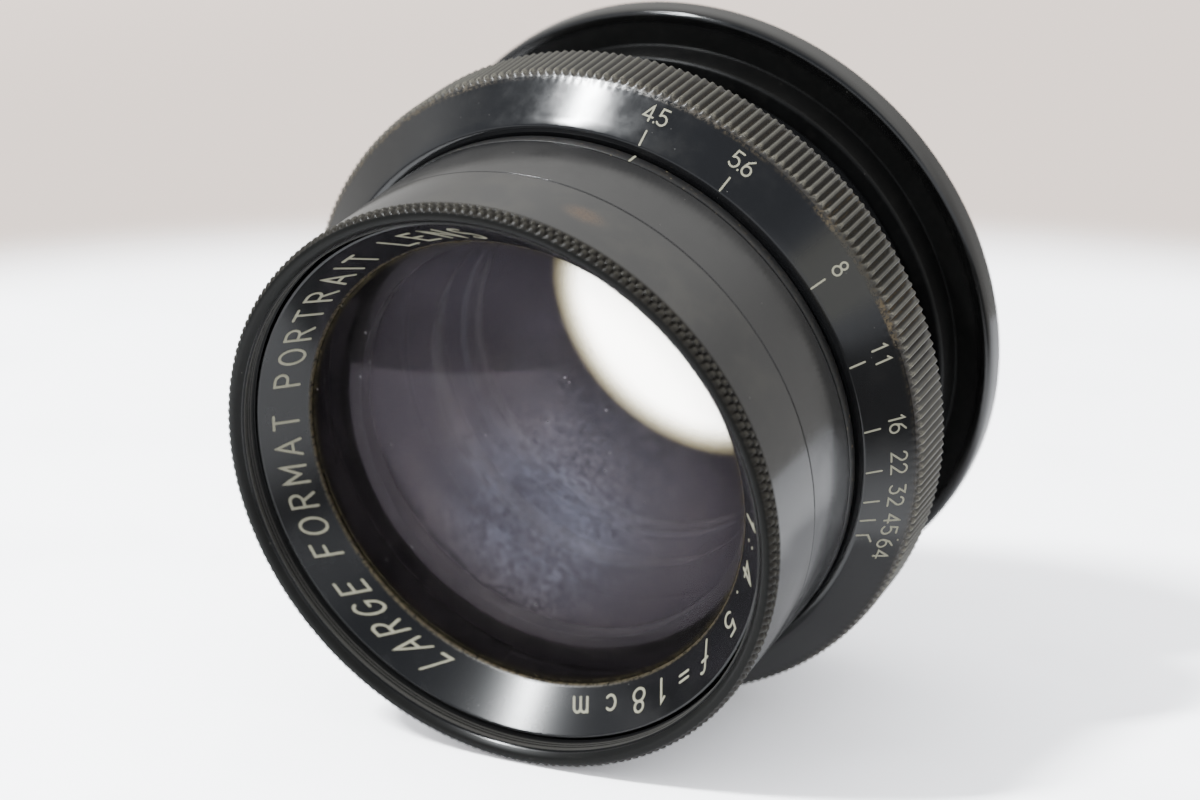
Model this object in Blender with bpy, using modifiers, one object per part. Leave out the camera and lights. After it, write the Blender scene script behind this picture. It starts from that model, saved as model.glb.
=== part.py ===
"""A large-format portrait lens in a black-lacquered brass barrel, 180 mm f/4.5, four elements in three
groups with a sixteen-blade iris.

The lens is drawn standing on its mounting flange with its glass up: sizes are in millimetres, `r` is a
radius about the optical axis and `h` is a height above the flange's rear face. The empty `optical_axis` then
tips it onto its side, so that in world space the glass faces -Y, and sets the middle of its length at the
world origin.
Angles about the axis are in degrees, anticlockwise from +X as seen from in front of the glass.
"""

import math

import bmesh
import bpy
from mathutils import Matrix, Vector

MM = 0.001
FULL_TURN = 360.0
CLEARANCE = 0.3
COLLAR_CLEARANCE = 0.25
STACK_GAP = 0.2
MERGE_DISTANCE = 1e-5

# Steps round a turned piece, and along the curve of a lens, a blade and a slot.
OUTER_STEPS = 48
INNER_STEPS = 36
LENS_STEPS = 32
SCREW_STEPS = 16
LENS_RINGS = 4
BLADE_SEGMENTS = 12
SLOT_SEGMENTS = 16

# The front cell: its knurled rim, the sleeve behind it, and the thread for filters in its mouth.
RIM_RADIUS = 27.0
RIM_FRONT = 43.5
RIM_BAND = 1.7
RIM_EDGE = 0.35
RIM_STEP = 0.2
SLEEVE_RADIUS = 26.8
SEAM_HEIGHT = 34.7
FILTER_RADIUS = 25.3
FILTER_MOUTH_DEPTH = 0.4
FILTER_MOUTH_FLARE = 0.3
CELL_RADIUS = 24.4
CELL_REAR = 20.7

# The name ring, and the glass of the front cell. A lens face is (vertex height, radius of curvature).
NAME_RING_RADIUS = 25.0
NAME_RING_TOP = 41.4
NAME_RING_SKIRT = 36.6
FRONT_CLEAR_RADIUS = 21.6
FRONT_GLASS_EDGE = 37.4
EDGE_LAND = (0.1, 0.2)
FRONT_SEAT_RADIUS = 23.3
FRONT_SEAT_HEIGHT = 36.2
FRONT_LENS_RADIUS = 23.0
FRONT_LENS_FACES = ((41.1, 60.0), (32.1, 500.0))
SPACER_BORE = 19.6
SPACER_TOP = 32.2
SPACER_BOTTOM = 30.6
SECOND_SEAT_RADIUS = 20.8
SECOND_SEAT_TOP = 30.3
SECOND_LENS_RADIUS = 20.5
SECOND_LENS_FACES = ((28.0, -95.0), (25.5, -52.0))
SECOND_LENS_LAND = 18.2
SECOND_RING_BORE = 17.9
SECOND_RING_TOP = 21.9
SECOND_RING_BOTTOM = 20.9

# The barrel.
BARREL_BORE = 24.7
JOURNAL_RADIUS = 25.9
SHOULDER_HEIGHT = 26.8
REAR_BORE = 23.6
REAR_BORE_TOP = 12.6
THREAD_RADIUS = 25.3
THREAD_END = 0.2

# The aperture ring, and the fixed collars in front of it and behind it.
RING_FRONT = 25.1
RING_FRONT_RADIUS = 27.6
RING_RADIUS = 31.5
RING_BAND_TOP = 21.2
RING_REAR = 15.8
RING_CHAMFER = 0.3
RING_BORE = JOURNAL_RADIUS + CLEARANCE
RING_TRAVEL = 93.5
COLLAR_BORE = JOURNAL_RADIUS + COLLAR_CLEARANCE
INDEX_COLLAR_LENGTH = 1.2
REAR_COLLAR_RADIUS = 28.0
REAR_COLLAR_LENGTH = 2.2

# The mounting flange. Its front bevel is two chords of a round edge, each (inset, depth below the face).
FLANGE_RADIUS = 30.9
FLANGE_THICKNESS = 2.7
FLANGE_BEVEL = ((1.0, 0.0), (0.3, 0.5), (0.0, 1.2))
FLANGE_REAR_EDGE = 0.4
BOSS_RADIUS = 27.4
BOSS_TOP = 6.1
BOSS_EDGE = 0.4
FLANGE_BORE = THREAD_RADIUS + CLEARANCE

# The iris: the blades turn on pins that stand in the base plate.
STOP_RADIUS = 17.6
BLADES = 16
BLADE_INNER_RADIUS = 17.7
BLADE_OUTER_RADIUS = 22.6
BLADE_SPAN = 130.0
BLADE_HEEL = 2.4
BLADE_THICKNESS = 0.10
BLADE_PITCH = 0.16
BLADE_TOP = 17.0
PIVOT_RADIUS = 23.4
PIVOT_PIN_RADIUS = 0.42
PIVOT_HOLE_RADIUS = 0.57
PIVOT_EYE_RADIUS = 0.85
PIN_SIDES = 8
EYE_SEGMENTS = 4
TIP_SEGMENTS = 5
IRIS_RADIUS = 24.4
IRIS_RETAINER_BORE = 19.4
DRIVE_RING_BORE = 19.2
DRIVE_RING_TOP = 19.3
DRIVE_RING_BOTTOM = 17.3
DRIVE_SLOT_RADIUS = 21.6
DRIVE_SLOT_SIZE = (3.0, 0.9, 4.0)
BASE_PLATE_TOP = 14.1
BASE_PLATE_BOTTOM = 12.9

# The screw that ties the aperture ring to the iris drive ring, through a slot in the barrel.
SCREW_ANGLE = 210.0
SCREW_HEIGHT = (DRIVE_RING_TOP + DRIVE_RING_BOTTOM) / 2
SCREW_SHANK_RADIUS = 1.1
SCREW_HEAD_RADIUS = 1.9
SCREW_HEAD_TOP = 31.1
SCREW_HEAD_LENGTH = 1.0
SCREW_SLOT_SIZE = (0.5, 5.0, 0.9)
SCREW_TIP_RADIUS = 0.6
SCREW_TIP_LENGTH = 1.8
BARREL_SLOT_MARGIN = 4.0
BARREL_SLOT_WIDTH = 2 * SCREW_SHANK_RADIUS + 2 * CLEARANCE

# The rear cell and its cemented pair.
REAR_CELL_RADIUS = 23.3
REAR_CELL_TOP = 12.4
REAR_LIP_BORE = 18.2
REAR_LIP_THICKNESS = 0.45
REAR_RIM_RADIUS = 24.9
REAR_RIM_TOP = -0.3
REAR_RIM_BOTTOM = -3.6
REAR_RING_RADIUS = 20.3
REAR_RING_BORE = 17.4
REAR_RING_TOP = -0.1
REAR_RING_BOTTOM = -1.6
REAR_LENS_RADIUS = 19.0
REAR_LENS_SEAT = 0.2
THIRD_LENS_FACES = ((10.0, -110.0), (7.6, -50.0))
FOURTH_LENS_FACES = ((7.5, 50.0), (-2.1, 70.0))

# A cutter reaches this far past the wall that it goes through.
OVERCUT = 1.0

MIDDLE_HEIGHT = (RIM_FRONT + REAR_RIM_BOTTOM) / 2

OBJECT_NAME = "portrait_lens"


# ---------------------------------------------------------------- scene, collections and materials


def clear_scene():
    for obj in list(bpy.data.objects):
        bpy.data.objects.remove(obj, do_unlink=True)


def new_collection(name):
    collection = bpy.data.collections.new(name)
    bpy.context.scene.collection.children.link(collection)
    return collection


def new_material(name, colour, roughness, metallic, transmission=0.0):
    material = bpy.data.materials.new(name)
    material.use_nodes = True
    shader = material.node_tree.nodes["Principled BSDF"]
    shader.inputs["Base Color"].default_value = (*colour, 1.0)
    shader.inputs["Roughness"].default_value = roughness
    shader.inputs["Metallic"].default_value = metallic
    shader.inputs["Transmission Weight"].default_value = transmission
    material.diffuse_color = (*colour, 1.0)
    return material


clear_scene()
PARTS = new_collection(OBJECT_NAME)
CUTTERS = new_collection("cutters")

LACQUER = new_material("black_lacquer", (0.018, 0.019, 0.021), 0.22, 0.1)
NAME_BLACK = new_material("engraved_ring_black", (0.025, 0.025, 0.027), 0.35, 0.2)
WORN_KNURL = new_material("worn_black_brass", (0.11, 0.10, 0.09), 0.42, 0.6)
MATT_BLACK = new_material("matt_black_paint", (0.015, 0.015, 0.015), 0.75, 0.0)
BLADE_STEEL = new_material("blued_steel", (0.06, 0.065, 0.08), 0.38, 0.9)
BRASS = new_material("brass", (0.62, 0.46, 0.20), 0.30, 1.0)
GLASS = new_material("coated_glass", (0.80, 0.80, 0.92), 0.02, 0.0, 1.0)

AXIS = bpy.data.objects.new("optical_axis", None)
AXIS.rotation_euler = (math.radians(90), 0, 0)
AXIS.location = (0, MIDDLE_HEIGHT * MM, 0)
PARTS.objects.link(AXIS)


# ---------------------------------------------------------------- shared shapes


def polar(radius, angle, height=0.0):
    """The point at this radius and angle about the optical axis, in metres."""
    turn = math.radians(angle)
    return Vector((radius * math.cos(turn), radius * math.sin(turn), height)) * MM


def arc(radius, start, end, segments, centre=(0.0, 0.0)):
    """Points along an arc in the plane across the axis, in millimetres."""
    turns = [math.radians(start + (end - start) * i / segments) for i in range(segments + 1)]
    return [(centre[0] + radius * math.cos(t), centre[1] + radius * math.sin(t)) for t in turns]


def sag(curvature_radius, r):
    """How far a spherical surface falls away from its vertex at radius r."""
    return curvature_radius - math.sqrt(curvature_radius**2 - r**2)


def add(obj, material, collection=None, parent=None):
    obj.parent = parent or AXIS
    (collection or PARTS).objects.link(obj)
    obj.data.materials.clear()
    obj.data.materials.append(material)
    return obj


def turned(name, profile, material, steps=OUTER_STEPS, closed=True):
    """A turned piece. The profile's (r, h) points run down its outer side, then up its inner side."""
    mesh = bpy.data.meshes.new(name)
    points = [(r * MM, 0.0, h * MM) for r, h in profile]
    edges = [(i, i + 1) for i in range(len(points) - 1)]
    if closed:
        edges.append((len(points) - 1, 0))
    mesh.from_pydata(points, edges, [])
    obj = bpy.data.objects.new(name, mesh)
    screw = obj.modifiers.new("turn", "SCREW")
    screw.axis = "Z"
    screw.angle = math.tau
    screw.steps = steps
    screw.render_steps = steps
    screw.use_merge_vertices = True
    screw.merge_threshold = MERGE_DISTANCE
    screw.use_smooth_shade = False
    return add(obj, material)


def ring(name, outer, inner, top, bottom, material, steps=INNER_STEPS):
    profile = [(outer, top), (outer, bottom), (inner, bottom), (inner, top)]
    return turned(name, profile, material, steps)


def flat_solid(name, outline, thickness):
    """A plate with this outline, halfway up at its own origin, as a closed mesh object."""
    curve = bpy.data.curves.new(name, "CURVE")
    curve.dimensions = "2D"
    curve.fill_mode = "BOTH"
    curve.extrude = thickness * MM / 2
    spline = curve.splines.new("POLY")
    spline.points.add(len(outline) - 1)
    for point, (x, y) in zip(spline.points, outline):
        point.co = (x * MM, y * MM, 0.0, 1.0)
    spline.use_cyclic_u = True
    drawn = bpy.data.objects.new(name + "_outline", curve)
    bpy.context.scene.collection.objects.link(drawn)
    graph = bpy.context.evaluated_depsgraph_get()
    mesh = bpy.data.meshes.new_from_object(drawn.evaluated_get(graph))
    bpy.data.objects.remove(drawn, do_unlink=True)
    mesh.name = name
    weld = bmesh.new()
    weld.from_mesh(mesh)
    bmesh.ops.remove_doubles(weld, verts=weld.verts, dist=MERGE_DISTANCE)
    bmesh.ops.recalc_face_normals(weld, faces=weld.faces)
    weld.to_mesh(mesh)
    weld.free()
    return bpy.data.objects.new(name, mesh)


def helper(name, mesh):
    """A cutter or an insert that the build leaves out."""
    obj = bpy.data.objects.new(name, mesh)
    obj.display_type = "WIRE"
    obj.hide_render = True
    return add(obj, BRASS, CUTTERS)


def rods(name, radius, length, places, sides):
    """One helper mesh of equal rods. Each place is the matrix that sets a rod lying along its local Z."""
    shape = bmesh.new()
    for place in places:
        bmesh.ops.create_cone(
            shape, cap_ends=True, segments=sides, radius1=radius * MM, radius2=radius * MM,
            depth=length * MM, matrix=place,
        )
    mesh = bpy.data.meshes.new(name)
    shape.to_mesh(mesh)
    shape.free()
    return helper(name, mesh)


def bars(name, size, places):
    """One helper mesh of equal rectangular bars."""
    shape = bmesh.new()
    for place in places:
        scale = Matrix.Diagonal((size[0] * MM, size[1] * MM, size[2] * MM, 1.0))
        bmesh.ops.create_cube(shape, size=1.0, matrix=place @ scale)
    mesh = bpy.data.meshes.new(name)
    shape.to_mesh(mesh)
    shape.free()
    return helper(name, mesh)


def cut(obj, cutter, operation="DIFFERENCE"):
    boolean = obj.modifiers.new(cutter.name, "BOOLEAN")
    boolean.operation = operation
    boolean.solver = "EXACT"
    boolean.object = cutter
    return obj


def radial_place(radius, angle, height):
    """A frame at this point whose Z axis points away from the optical axis."""
    turn = Matrix.Rotation(math.radians(angle), 4, "Z")
    lie = Matrix.Rotation(math.radians(90), 4, "Y")
    return Matrix.Translation(polar(radius, angle, height)) @ turn @ lie


def flat_place(radius, angle, height):
    """A frame at this point whose X axis points away from the optical axis."""
    return Matrix.Translation(polar(radius, angle, height)) @ Matrix.Rotation(math.radians(angle), 4, "Z")


def lens(name, radius, faces, rear_land=None):
    """A lens element. Each face is (vertex height, radius of curvature), convex outwards when positive, and
    the land is the radius from which a hollow rear face is ground flat."""

    def side(vertex, curvature, sign, land):
        edge = land or radius
        rings = [edge * i / LENS_RINGS for i in range(LENS_RINGS + 1)]
        drop = math.copysign(1.0, curvature)
        points = [(r, vertex - sign * drop * sag(abs(curvature), r)) for r in rings]
        if land:
            points.append((radius, points[-1][1]))
        return points

    front, rear = faces
    front_side = side(*front, 1, None)
    rear_side = side(*rear, -1, rear_land)
    return turned(name, front_side + rear_side[::-1], GLASS, LENS_STEPS, closed=False)


# ---------------------------------------------------------------- the front cell and its two elements


def front_cell():
    """The front sleeve: its knurled rim, the thread for filters and caps, and the seats for two elements."""
    profile = [
        (RIM_RADIUS - RIM_EDGE, RIM_FRONT),
        (RIM_RADIUS, RIM_FRONT - RIM_EDGE),
        (RIM_RADIUS, RIM_FRONT - RIM_BAND),
        (SLEEVE_RADIUS, RIM_FRONT - RIM_BAND - RIM_STEP),
        (SLEEVE_RADIUS, SEAM_HEIGHT),
        (CELL_RADIUS, SEAM_HEIGHT),
        (CELL_RADIUS, CELL_REAR),
        (SECOND_SEAT_RADIUS, CELL_REAR),
        (SECOND_SEAT_RADIUS, SECOND_SEAT_TOP),
        (FRONT_SEAT_RADIUS, SECOND_SEAT_TOP),
        (FRONT_SEAT_RADIUS, FRONT_SEAT_HEIGHT),
        (FILTER_RADIUS, FRONT_SEAT_HEIGHT),
        (FILTER_RADIUS, RIM_FRONT - FILTER_MOUTH_DEPTH),
        (FILTER_RADIUS + FILTER_MOUTH_FLARE, RIM_FRONT),
    ]
    turned("front_cell", profile, LACQUER)


def name_ring():
    """The engraved cone in front of the glass, which screws in and holds the front element down."""
    profile = [
        (NAME_RING_RADIUS, NAME_RING_TOP),
        (NAME_RING_RADIUS, NAME_RING_SKIRT),
        (FRONT_CLEAR_RADIUS, FRONT_GLASS_EDGE),
        (FRONT_CLEAR_RADIUS + EDGE_LAND[0], FRONT_GLASS_EDGE + EDGE_LAND[1]),
    ]
    turned("name_ring", profile, NAME_BLACK)


def front_group():
    """The two air-spaced elements of the front cell, with the ring between them and the one behind them."""
    lens("front_element", FRONT_LENS_RADIUS, FRONT_LENS_FACES)
    ring("front_spacer", FRONT_LENS_RADIUS, SPACER_BORE, SPACER_TOP, SPACER_BOTTOM, MATT_BLACK)
    lens("second_element", SECOND_LENS_RADIUS, SECOND_LENS_FACES, SECOND_LENS_LAND)
    ring(
        "second_retaining_ring", SECOND_LENS_RADIUS, SECOND_RING_BORE, SECOND_RING_TOP, SECOND_RING_BOTTOM,
        MATT_BLACK,
    )


# ---------------------------------------------------------------- the barrel and the aperture ring


def sector_cutter(name, inner, outer, start, end, height, thickness):
    outline = arc(outer, start, end, SLOT_SEGMENTS) + arc(inner, end, start, SLOT_SEGMENTS)
    plate = flat_solid(name, outline, thickness)
    plate.location = (0, 0, height * MM)
    plate.display_type = "WIRE"
    plate.hide_render = True
    return add(plate, BRASS, CUTTERS)


def main_barrel():
    """The tube that everything screws into, slotted for the screw that drives the iris."""
    profile = [
        (SLEEVE_RADIUS, SEAM_HEIGHT - CLEARANCE),
        (SLEEVE_RADIUS, SHOULDER_HEIGHT),
        (JOURNAL_RADIUS, SHOULDER_HEIGHT),
        (JOURNAL_RADIUS, BOSS_TOP + CLEARANCE),
        (THREAD_RADIUS, BOSS_TOP + CLEARANCE),
        (THREAD_RADIUS, THREAD_END),
        (REAR_BORE, THREAD_END),
        (REAR_BORE, REAR_BORE_TOP),
        (BARREL_BORE, REAR_BORE_TOP),
        (BARREL_BORE, SEAM_HEIGHT - CLEARANCE),
    ]
    barrel = turned("main_barrel", profile, LACQUER)
    slot = sector_cutter(
        "barrel_slot", BARREL_BORE - OVERCUT, JOURNAL_RADIUS + OVERCUT, SCREW_ANGLE - BARREL_SLOT_MARGIN,
        SCREW_ANGLE + RING_TRAVEL + BARREL_SLOT_MARGIN, SCREW_HEIGHT, BARREL_SLOT_WIDTH,
    )
    cut(barrel, slot)


def index_collar():
    """The fixed collar in front of the aperture ring, which carries the index line."""
    top = SHOULDER_HEIGHT - STACK_GAP
    bottom = top - INDEX_COLLAR_LENGTH
    ring("index_collar", SLEEVE_RADIUS, COLLAR_BORE, top, bottom, LACQUER, OUTER_STEPS)


def aperture_ring():
    """The ring the user turns: an engraved cone, then a knurled band, with a recess for the drive screw."""
    profile = [
        (RING_FRONT_RADIUS, RING_FRONT),
        (RING_RADIUS, RING_BAND_TOP),
        (RING_RADIUS, RING_REAR + RING_CHAMFER),
        (RING_RADIUS - RING_CHAMFER, RING_REAR),
        (RING_BORE, RING_REAR),
        (RING_BORE, RING_FRONT),
    ]
    control = turned("aperture_ring", profile, WORN_KNURL)
    wall = RING_RADIUS - RING_BORE
    hole = rods(
        "screw_hole", SCREW_SHANK_RADIUS + CLEARANCE, wall + 2 * OVERCUT,
        [radial_place(RING_BORE + wall / 2, SCREW_ANGLE, SCREW_HEIGHT)], SCREW_STEPS,
    )
    recess_depth = RING_RADIUS - (SCREW_HEAD_TOP - SCREW_HEAD_LENGTH - CLEARANCE)
    recess = rods(
        "screw_recess", SCREW_HEAD_RADIUS + CLEARANCE, 2 * recess_depth,
        [radial_place(RING_RADIUS, SCREW_ANGLE, SCREW_HEIGHT)], SCREW_STEPS,
    )
    cut(control, hole)
    cut(control, recess)


def drive_screw():
    """A slotted cheese-head screw. Its profile runs from the head, away from the axis, down to the tip."""
    neck = IRIS_RADIUS + CLEARANCE
    head_under = SCREW_HEAD_TOP - SCREW_HEAD_LENGTH
    profile = [
        (0.0, SCREW_HEAD_TOP),
        (SCREW_HEAD_RADIUS, SCREW_HEAD_TOP),
        (SCREW_HEAD_RADIUS, head_under),
        (SCREW_SHANK_RADIUS, head_under),
        (SCREW_SHANK_RADIUS, neck),
        (SCREW_TIP_RADIUS, neck),
        (SCREW_TIP_RADIUS, neck - SCREW_TIP_LENGTH),
        (0.0, neck - SCREW_TIP_LENGTH),
    ]
    screw = turned("drive_screw", profile, BRASS, SCREW_STEPS, closed=False)
    stand = radial_place(0.0, SCREW_ANGLE, SCREW_HEIGHT)
    screw.matrix_local = stand
    slot_place = stand @ Matrix.Translation(Vector((0, 0, SCREW_HEAD_TOP * MM)))
    cut(screw, bars("screw_slot", SCREW_SLOT_SIZE, [slot_place]))


def rear_collar():
    """The ring nut behind the aperture ring that keeps it on its journal."""
    top = RING_REAR - CLEARANCE
    bottom = top - REAR_COLLAR_LENGTH
    ring("rear_collar", REAR_COLLAR_RADIUS, COLLAR_BORE, top, bottom, LACQUER, OUTER_STEPS)


def mounting_flange():
    """The plate that rests on the lens board, with its boss and its bevelled rim."""
    bevel = [(FLANGE_RADIUS - inset, FLANGE_THICKNESS - depth) for inset, depth in FLANGE_BEVEL]
    profile = [
        (BOSS_RADIUS - BOSS_EDGE, BOSS_TOP),
        (BOSS_RADIUS, BOSS_TOP - BOSS_EDGE),
        (BOSS_RADIUS, FLANGE_THICKNESS),
        *bevel,
        (FLANGE_RADIUS, FLANGE_REAR_EDGE),
        (FLANGE_RADIUS - FLANGE_REAR_EDGE, 0.0),
        (FLANGE_BORE, 0.0),
        (FLANGE_BORE, BOSS_TOP),
    ]
    turned("mounting_flange", profile, LACQUER)


# ---------------------------------------------------------------- the iris


def iris_retaining_ring():
    """The fixed ring in front of the drive ring, which keeps the iris in the barrel."""
    top = CELL_REAR - CLEARANCE
    bottom = DRIVE_RING_TOP + STACK_GAP
    ring("iris_retaining_ring", IRIS_RADIUS, IRIS_RETAINER_BORE, top, bottom, MATT_BLACK)


def iris_drive_ring():
    """The ring that the aperture ring turns, with a radial slot for the free end of each blade."""
    drive = ring("iris_drive_ring", IRIS_RADIUS, DRIVE_RING_BORE, DRIVE_RING_TOP, DRIVE_RING_BOTTOM, BRASS)
    pitch = FULL_TURN / BLADES
    first = SCREW_ANGLE + pitch / 2
    slots = [flat_place(DRIVE_SLOT_RADIUS, first + i * pitch, SCREW_HEIGHT) for i in range(BLADES)]
    cut(drive, bars("drive_slots", DRIVE_SLOT_SIZE, slots))
    tip_place = radial_place(IRIS_RADIUS, SCREW_ANGLE, SCREW_HEIGHT)
    tip_depth = SCREW_TIP_LENGTH + STACK_GAP
    cut(drive, rods("screw_tip_hole", SCREW_TIP_RADIUS + STACK_GAP, 2 * tip_depth, [tip_place], SCREW_STEPS))


def iris_base_plate():
    """The fixed plate behind the blades: its bore is the full opening, and its holes hold the pivot pins."""
    base = ring("iris_base_plate", IRIS_RADIUS, STOP_RADIUS, BASE_PLATE_TOP, BASE_PLATE_BOTTOM, BRASS)
    middle = (BASE_PLATE_TOP + BASE_PLATE_BOTTOM) / 2
    holes = [flat_place(PIVOT_RADIUS, angle, middle) for angle in pivot_angles()]
    length = BASE_PLATE_TOP - BASE_PLATE_BOTTOM + 2 * OVERCUT
    cut(base, rods("pivot_holes", PIVOT_HOLE_RADIUS, length, holes, PIN_SIDES))


def pivot_angles():
    return [FULL_TURN * i / BLADES for i in range(BLADES)]


def blade_outline():
    """A crescent with an eye for its pivot, drawn about the pivot with the optical axis at -X."""
    eye = arc(PIVOT_EYE_RADIUS, -90, 90, EYE_SEGMENTS, (PIVOT_RADIUS, 0.0))
    outer = arc(BLADE_OUTER_RADIUS, BLADE_HEEL, BLADE_SPAN, BLADE_SEGMENTS)
    middle = (BLADE_INNER_RADIUS + BLADE_OUTER_RADIUS) / 2
    end = polar(middle, BLADE_SPAN) / MM
    half_width = (BLADE_OUTER_RADIUS - BLADE_INNER_RADIUS) / 2
    tip = arc(half_width, BLADE_SPAN, BLADE_SPAN + 180, TIP_SEGMENTS, (end.x, end.y))
    inner = arc(BLADE_INNER_RADIUS, BLADE_SPAN, -BLADE_HEEL, BLADE_SEGMENTS)
    heel = [tuple(polar(BLADE_OUTER_RADIUS, -BLADE_HEEL).xy / MM)]
    points = eye + outer + tip[1:-1] + inner + heel
    return [(x - PIVOT_RADIUS, y) for x, y in points]


def iris_blade(number, angle):
    """One blade at its own level, with the pin that reaches down into the base plate."""
    level = BLADE_TOP - number * BLADE_PITCH - BLADE_THICKNESS / 2
    name = f"iris_blade_{number + 1:02d}"
    blade = add(flat_solid(name, blade_outline(), BLADE_THICKNESS), BLADE_STEEL)
    blade.matrix_local = flat_place(PIVOT_RADIUS, angle, level)
    pin_end = BASE_PLATE_BOTTOM + STACK_GAP
    pin_place = flat_place(PIVOT_RADIUS, angle, (level + pin_end) / 2)
    pin = rods(f"pivot_pin_{number + 1:02d}", PIVOT_PIN_RADIUS, level - pin_end, [pin_place], PIN_SIDES)
    cut(blade, pin, "UNION")


# ---------------------------------------------------------------- the rear cell and its cemented pair


def rear_cell():
    """The cell behind the iris, whose rim stands behind the flange and through the lens board."""
    seat = REAR_LENS_RADIUS + CLEARANCE
    mouth = REAR_RING_RADIUS + CLEARANCE
    lip = REAR_CELL_TOP - REAR_LIP_THICKNESS
    profile = [
        (REAR_CELL_RADIUS, REAR_CELL_TOP),
        (REAR_CELL_RADIUS, REAR_RIM_TOP),
        (REAR_RIM_RADIUS, REAR_RIM_TOP),
        (REAR_RIM_RADIUS, REAR_RIM_BOTTOM),
        (mouth, REAR_RIM_BOTTOM),
        (mouth, REAR_LENS_SEAT),
        (seat, REAR_LENS_SEAT),
        (seat, lip),
        (REAR_LIP_BORE, lip),
        (REAR_LIP_BORE, REAR_CELL_TOP),
    ]
    turned("rear_cell", profile, LACQUER)


def rear_group():
    """The cemented pair, drawn with the thin gap of its cement, and the ring that holds it."""
    lens("third_element", REAR_LENS_RADIUS, THIRD_LENS_FACES)
    lens("fourth_element", REAR_LENS_RADIUS, FOURTH_LENS_FACES)
    ring("rear_retaining_ring", REAR_RING_RADIUS, REAR_RING_BORE, REAR_RING_TOP, REAR_RING_BOTTOM, MATT_BLACK)


# ---------------------------------------------------------------- the whole lens

front_cell()
name_ring()
front_group()
main_barrel()
index_collar()
aperture_ring()
drive_screw()
rear_collar()
mounting_flange()
iris_retaining_ring()
iris_drive_ring()
iris_base_plate()
for blade_number, pivot_angle in enumerate(pivot_angles()):
    iris_blade(blade_number, pivot_angle)
rear_cell()
rear_group()
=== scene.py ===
"""Looks for the portrait lens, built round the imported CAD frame.

Sizes are in millimetres. As in the part's source, `r` is a radius about the optical axis and `h` a height
above the mounting flange's rear face, towards the front glass. A turn is an angle about the axis in degrees,
clockwise from +Z as seen from in front of the glass.
"""

import math

import bmesh
import bpy
import numpy as np
from mathutils import Matrix, Quaternion, Vector


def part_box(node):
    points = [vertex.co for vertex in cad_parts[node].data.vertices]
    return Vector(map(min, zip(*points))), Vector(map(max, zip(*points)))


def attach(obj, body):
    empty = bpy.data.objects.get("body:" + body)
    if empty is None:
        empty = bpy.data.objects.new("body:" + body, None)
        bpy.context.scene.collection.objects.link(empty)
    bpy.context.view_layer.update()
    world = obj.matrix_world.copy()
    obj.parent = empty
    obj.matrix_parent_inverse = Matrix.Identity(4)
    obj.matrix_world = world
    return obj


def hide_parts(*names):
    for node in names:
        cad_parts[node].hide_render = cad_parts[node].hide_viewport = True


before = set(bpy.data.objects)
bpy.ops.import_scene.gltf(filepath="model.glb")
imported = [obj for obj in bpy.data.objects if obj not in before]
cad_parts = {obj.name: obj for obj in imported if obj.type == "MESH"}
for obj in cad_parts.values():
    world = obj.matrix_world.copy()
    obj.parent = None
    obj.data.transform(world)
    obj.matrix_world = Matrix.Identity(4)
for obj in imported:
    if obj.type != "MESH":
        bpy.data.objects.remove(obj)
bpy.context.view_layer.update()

MM = 0.001
REAR_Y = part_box("mounting_flange")[1].y


def node_size(name):
    """(outer radius, front height, rear height) of a turned CAD node."""
    low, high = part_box(name)
    return high.x / MM, (REAR_Y - low.y) / MM, (REAR_Y - high.y) / MM


RIM_RADIUS, RIM_FRONT, CELL_REAR = node_size("front_cell")
NAME_RADIUS, NAME_TOP, NAME_BOTTOM = node_size("name_ring")
SLEEVE_RADIUS, BARREL_FRONT, BARREL_REAR = node_size("main_barrel")
_, COLLAR_FRONT, COLLAR_REAR = node_size("index_collar")
RING_RADIUS, RING_FRONT, RING_REAR = node_size("aperture_ring")
NUT_RADIUS, NUT_FRONT, NUT_REAR = node_size("rear_collar")
FLANGE_RADIUS, BOSS_FRONT, FLANGE_REAR = node_size("mounting_flange")
REAR_RIM_RADIUS, REAR_CELL_FRONT, REAR_END = node_size("rear_cell")

# Radii that lie inside a node's box.
FILTER_RADIUS = 25.3
SEAT_RADIUS = 23.3
SECOND_SEAT_RADIUS = 20.8
CELL_RADIUS = 24.4
JOURNAL_RADIUS = 25.9
BARREL_BORE = 24.7
THREAD_RADIUS = 25.3
REAR_BORE = 23.6
CLEAR_RADIUS = 21.6
RING_NOSE_RADIUS = 27.6
BOSS_RADIUS = 27.4

# Heights that lie inside a node's box.
SEAM = BARREL_FRONT
SHOULDER = 26.8
FRONT_SEAT = 36.2
SECOND_SEAT = 30.3
BAND_FRONT = 21.2
FLANGE_FRONT = 2.7

SEGMENTS = 384
RIM_TEETH = 208
RIM_ROOT_RADIUS = 26.6
RIM_ROWS_MEET = 0.90
RIM_BAND = 1.62
RING_TEETH = 240
RING_TEETH_DEPTH = 0.42
SAMPLES_PER_TOOTH = 8

INDEX_TURN = 17.0
SCREW_TURN = 240.0
RING_TRAVEL = 93.5


# ---------------------------------------------------------------- mesh tools


def place(r, turn, h):
    """The world point at this radius, turn and height."""
    angle = math.radians(turn)
    return Vector((r * math.sin(angle) * MM, REAR_Y - h * MM, r * math.cos(angle) * MM))


def soften(points, radius, steps=3):
    """The closed outline with each corner rounded. A point's third number is a rounding of its own."""
    result = []
    for i, point in enumerate(points):
        corner = Vector(point[:2])
        own = point[2] if len(point) > 2 else radius
        if own == 0:
            result.append(tuple(corner))
            continue
        ends = []
        for other in (points[i - 1], points[(i + 1) % len(points)]):
            way = Vector(other[:2]) - corner
            ends.append(corner + way.normalized() * min(own, way.length * 0.45))
        for step in range(steps + 1):
            t = step / steps
            result.append(tuple(ends[0] * (1 - t) ** 2 + corner * 2 * t * (1 - t) + ends[1] * t**2))
    return result


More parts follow.
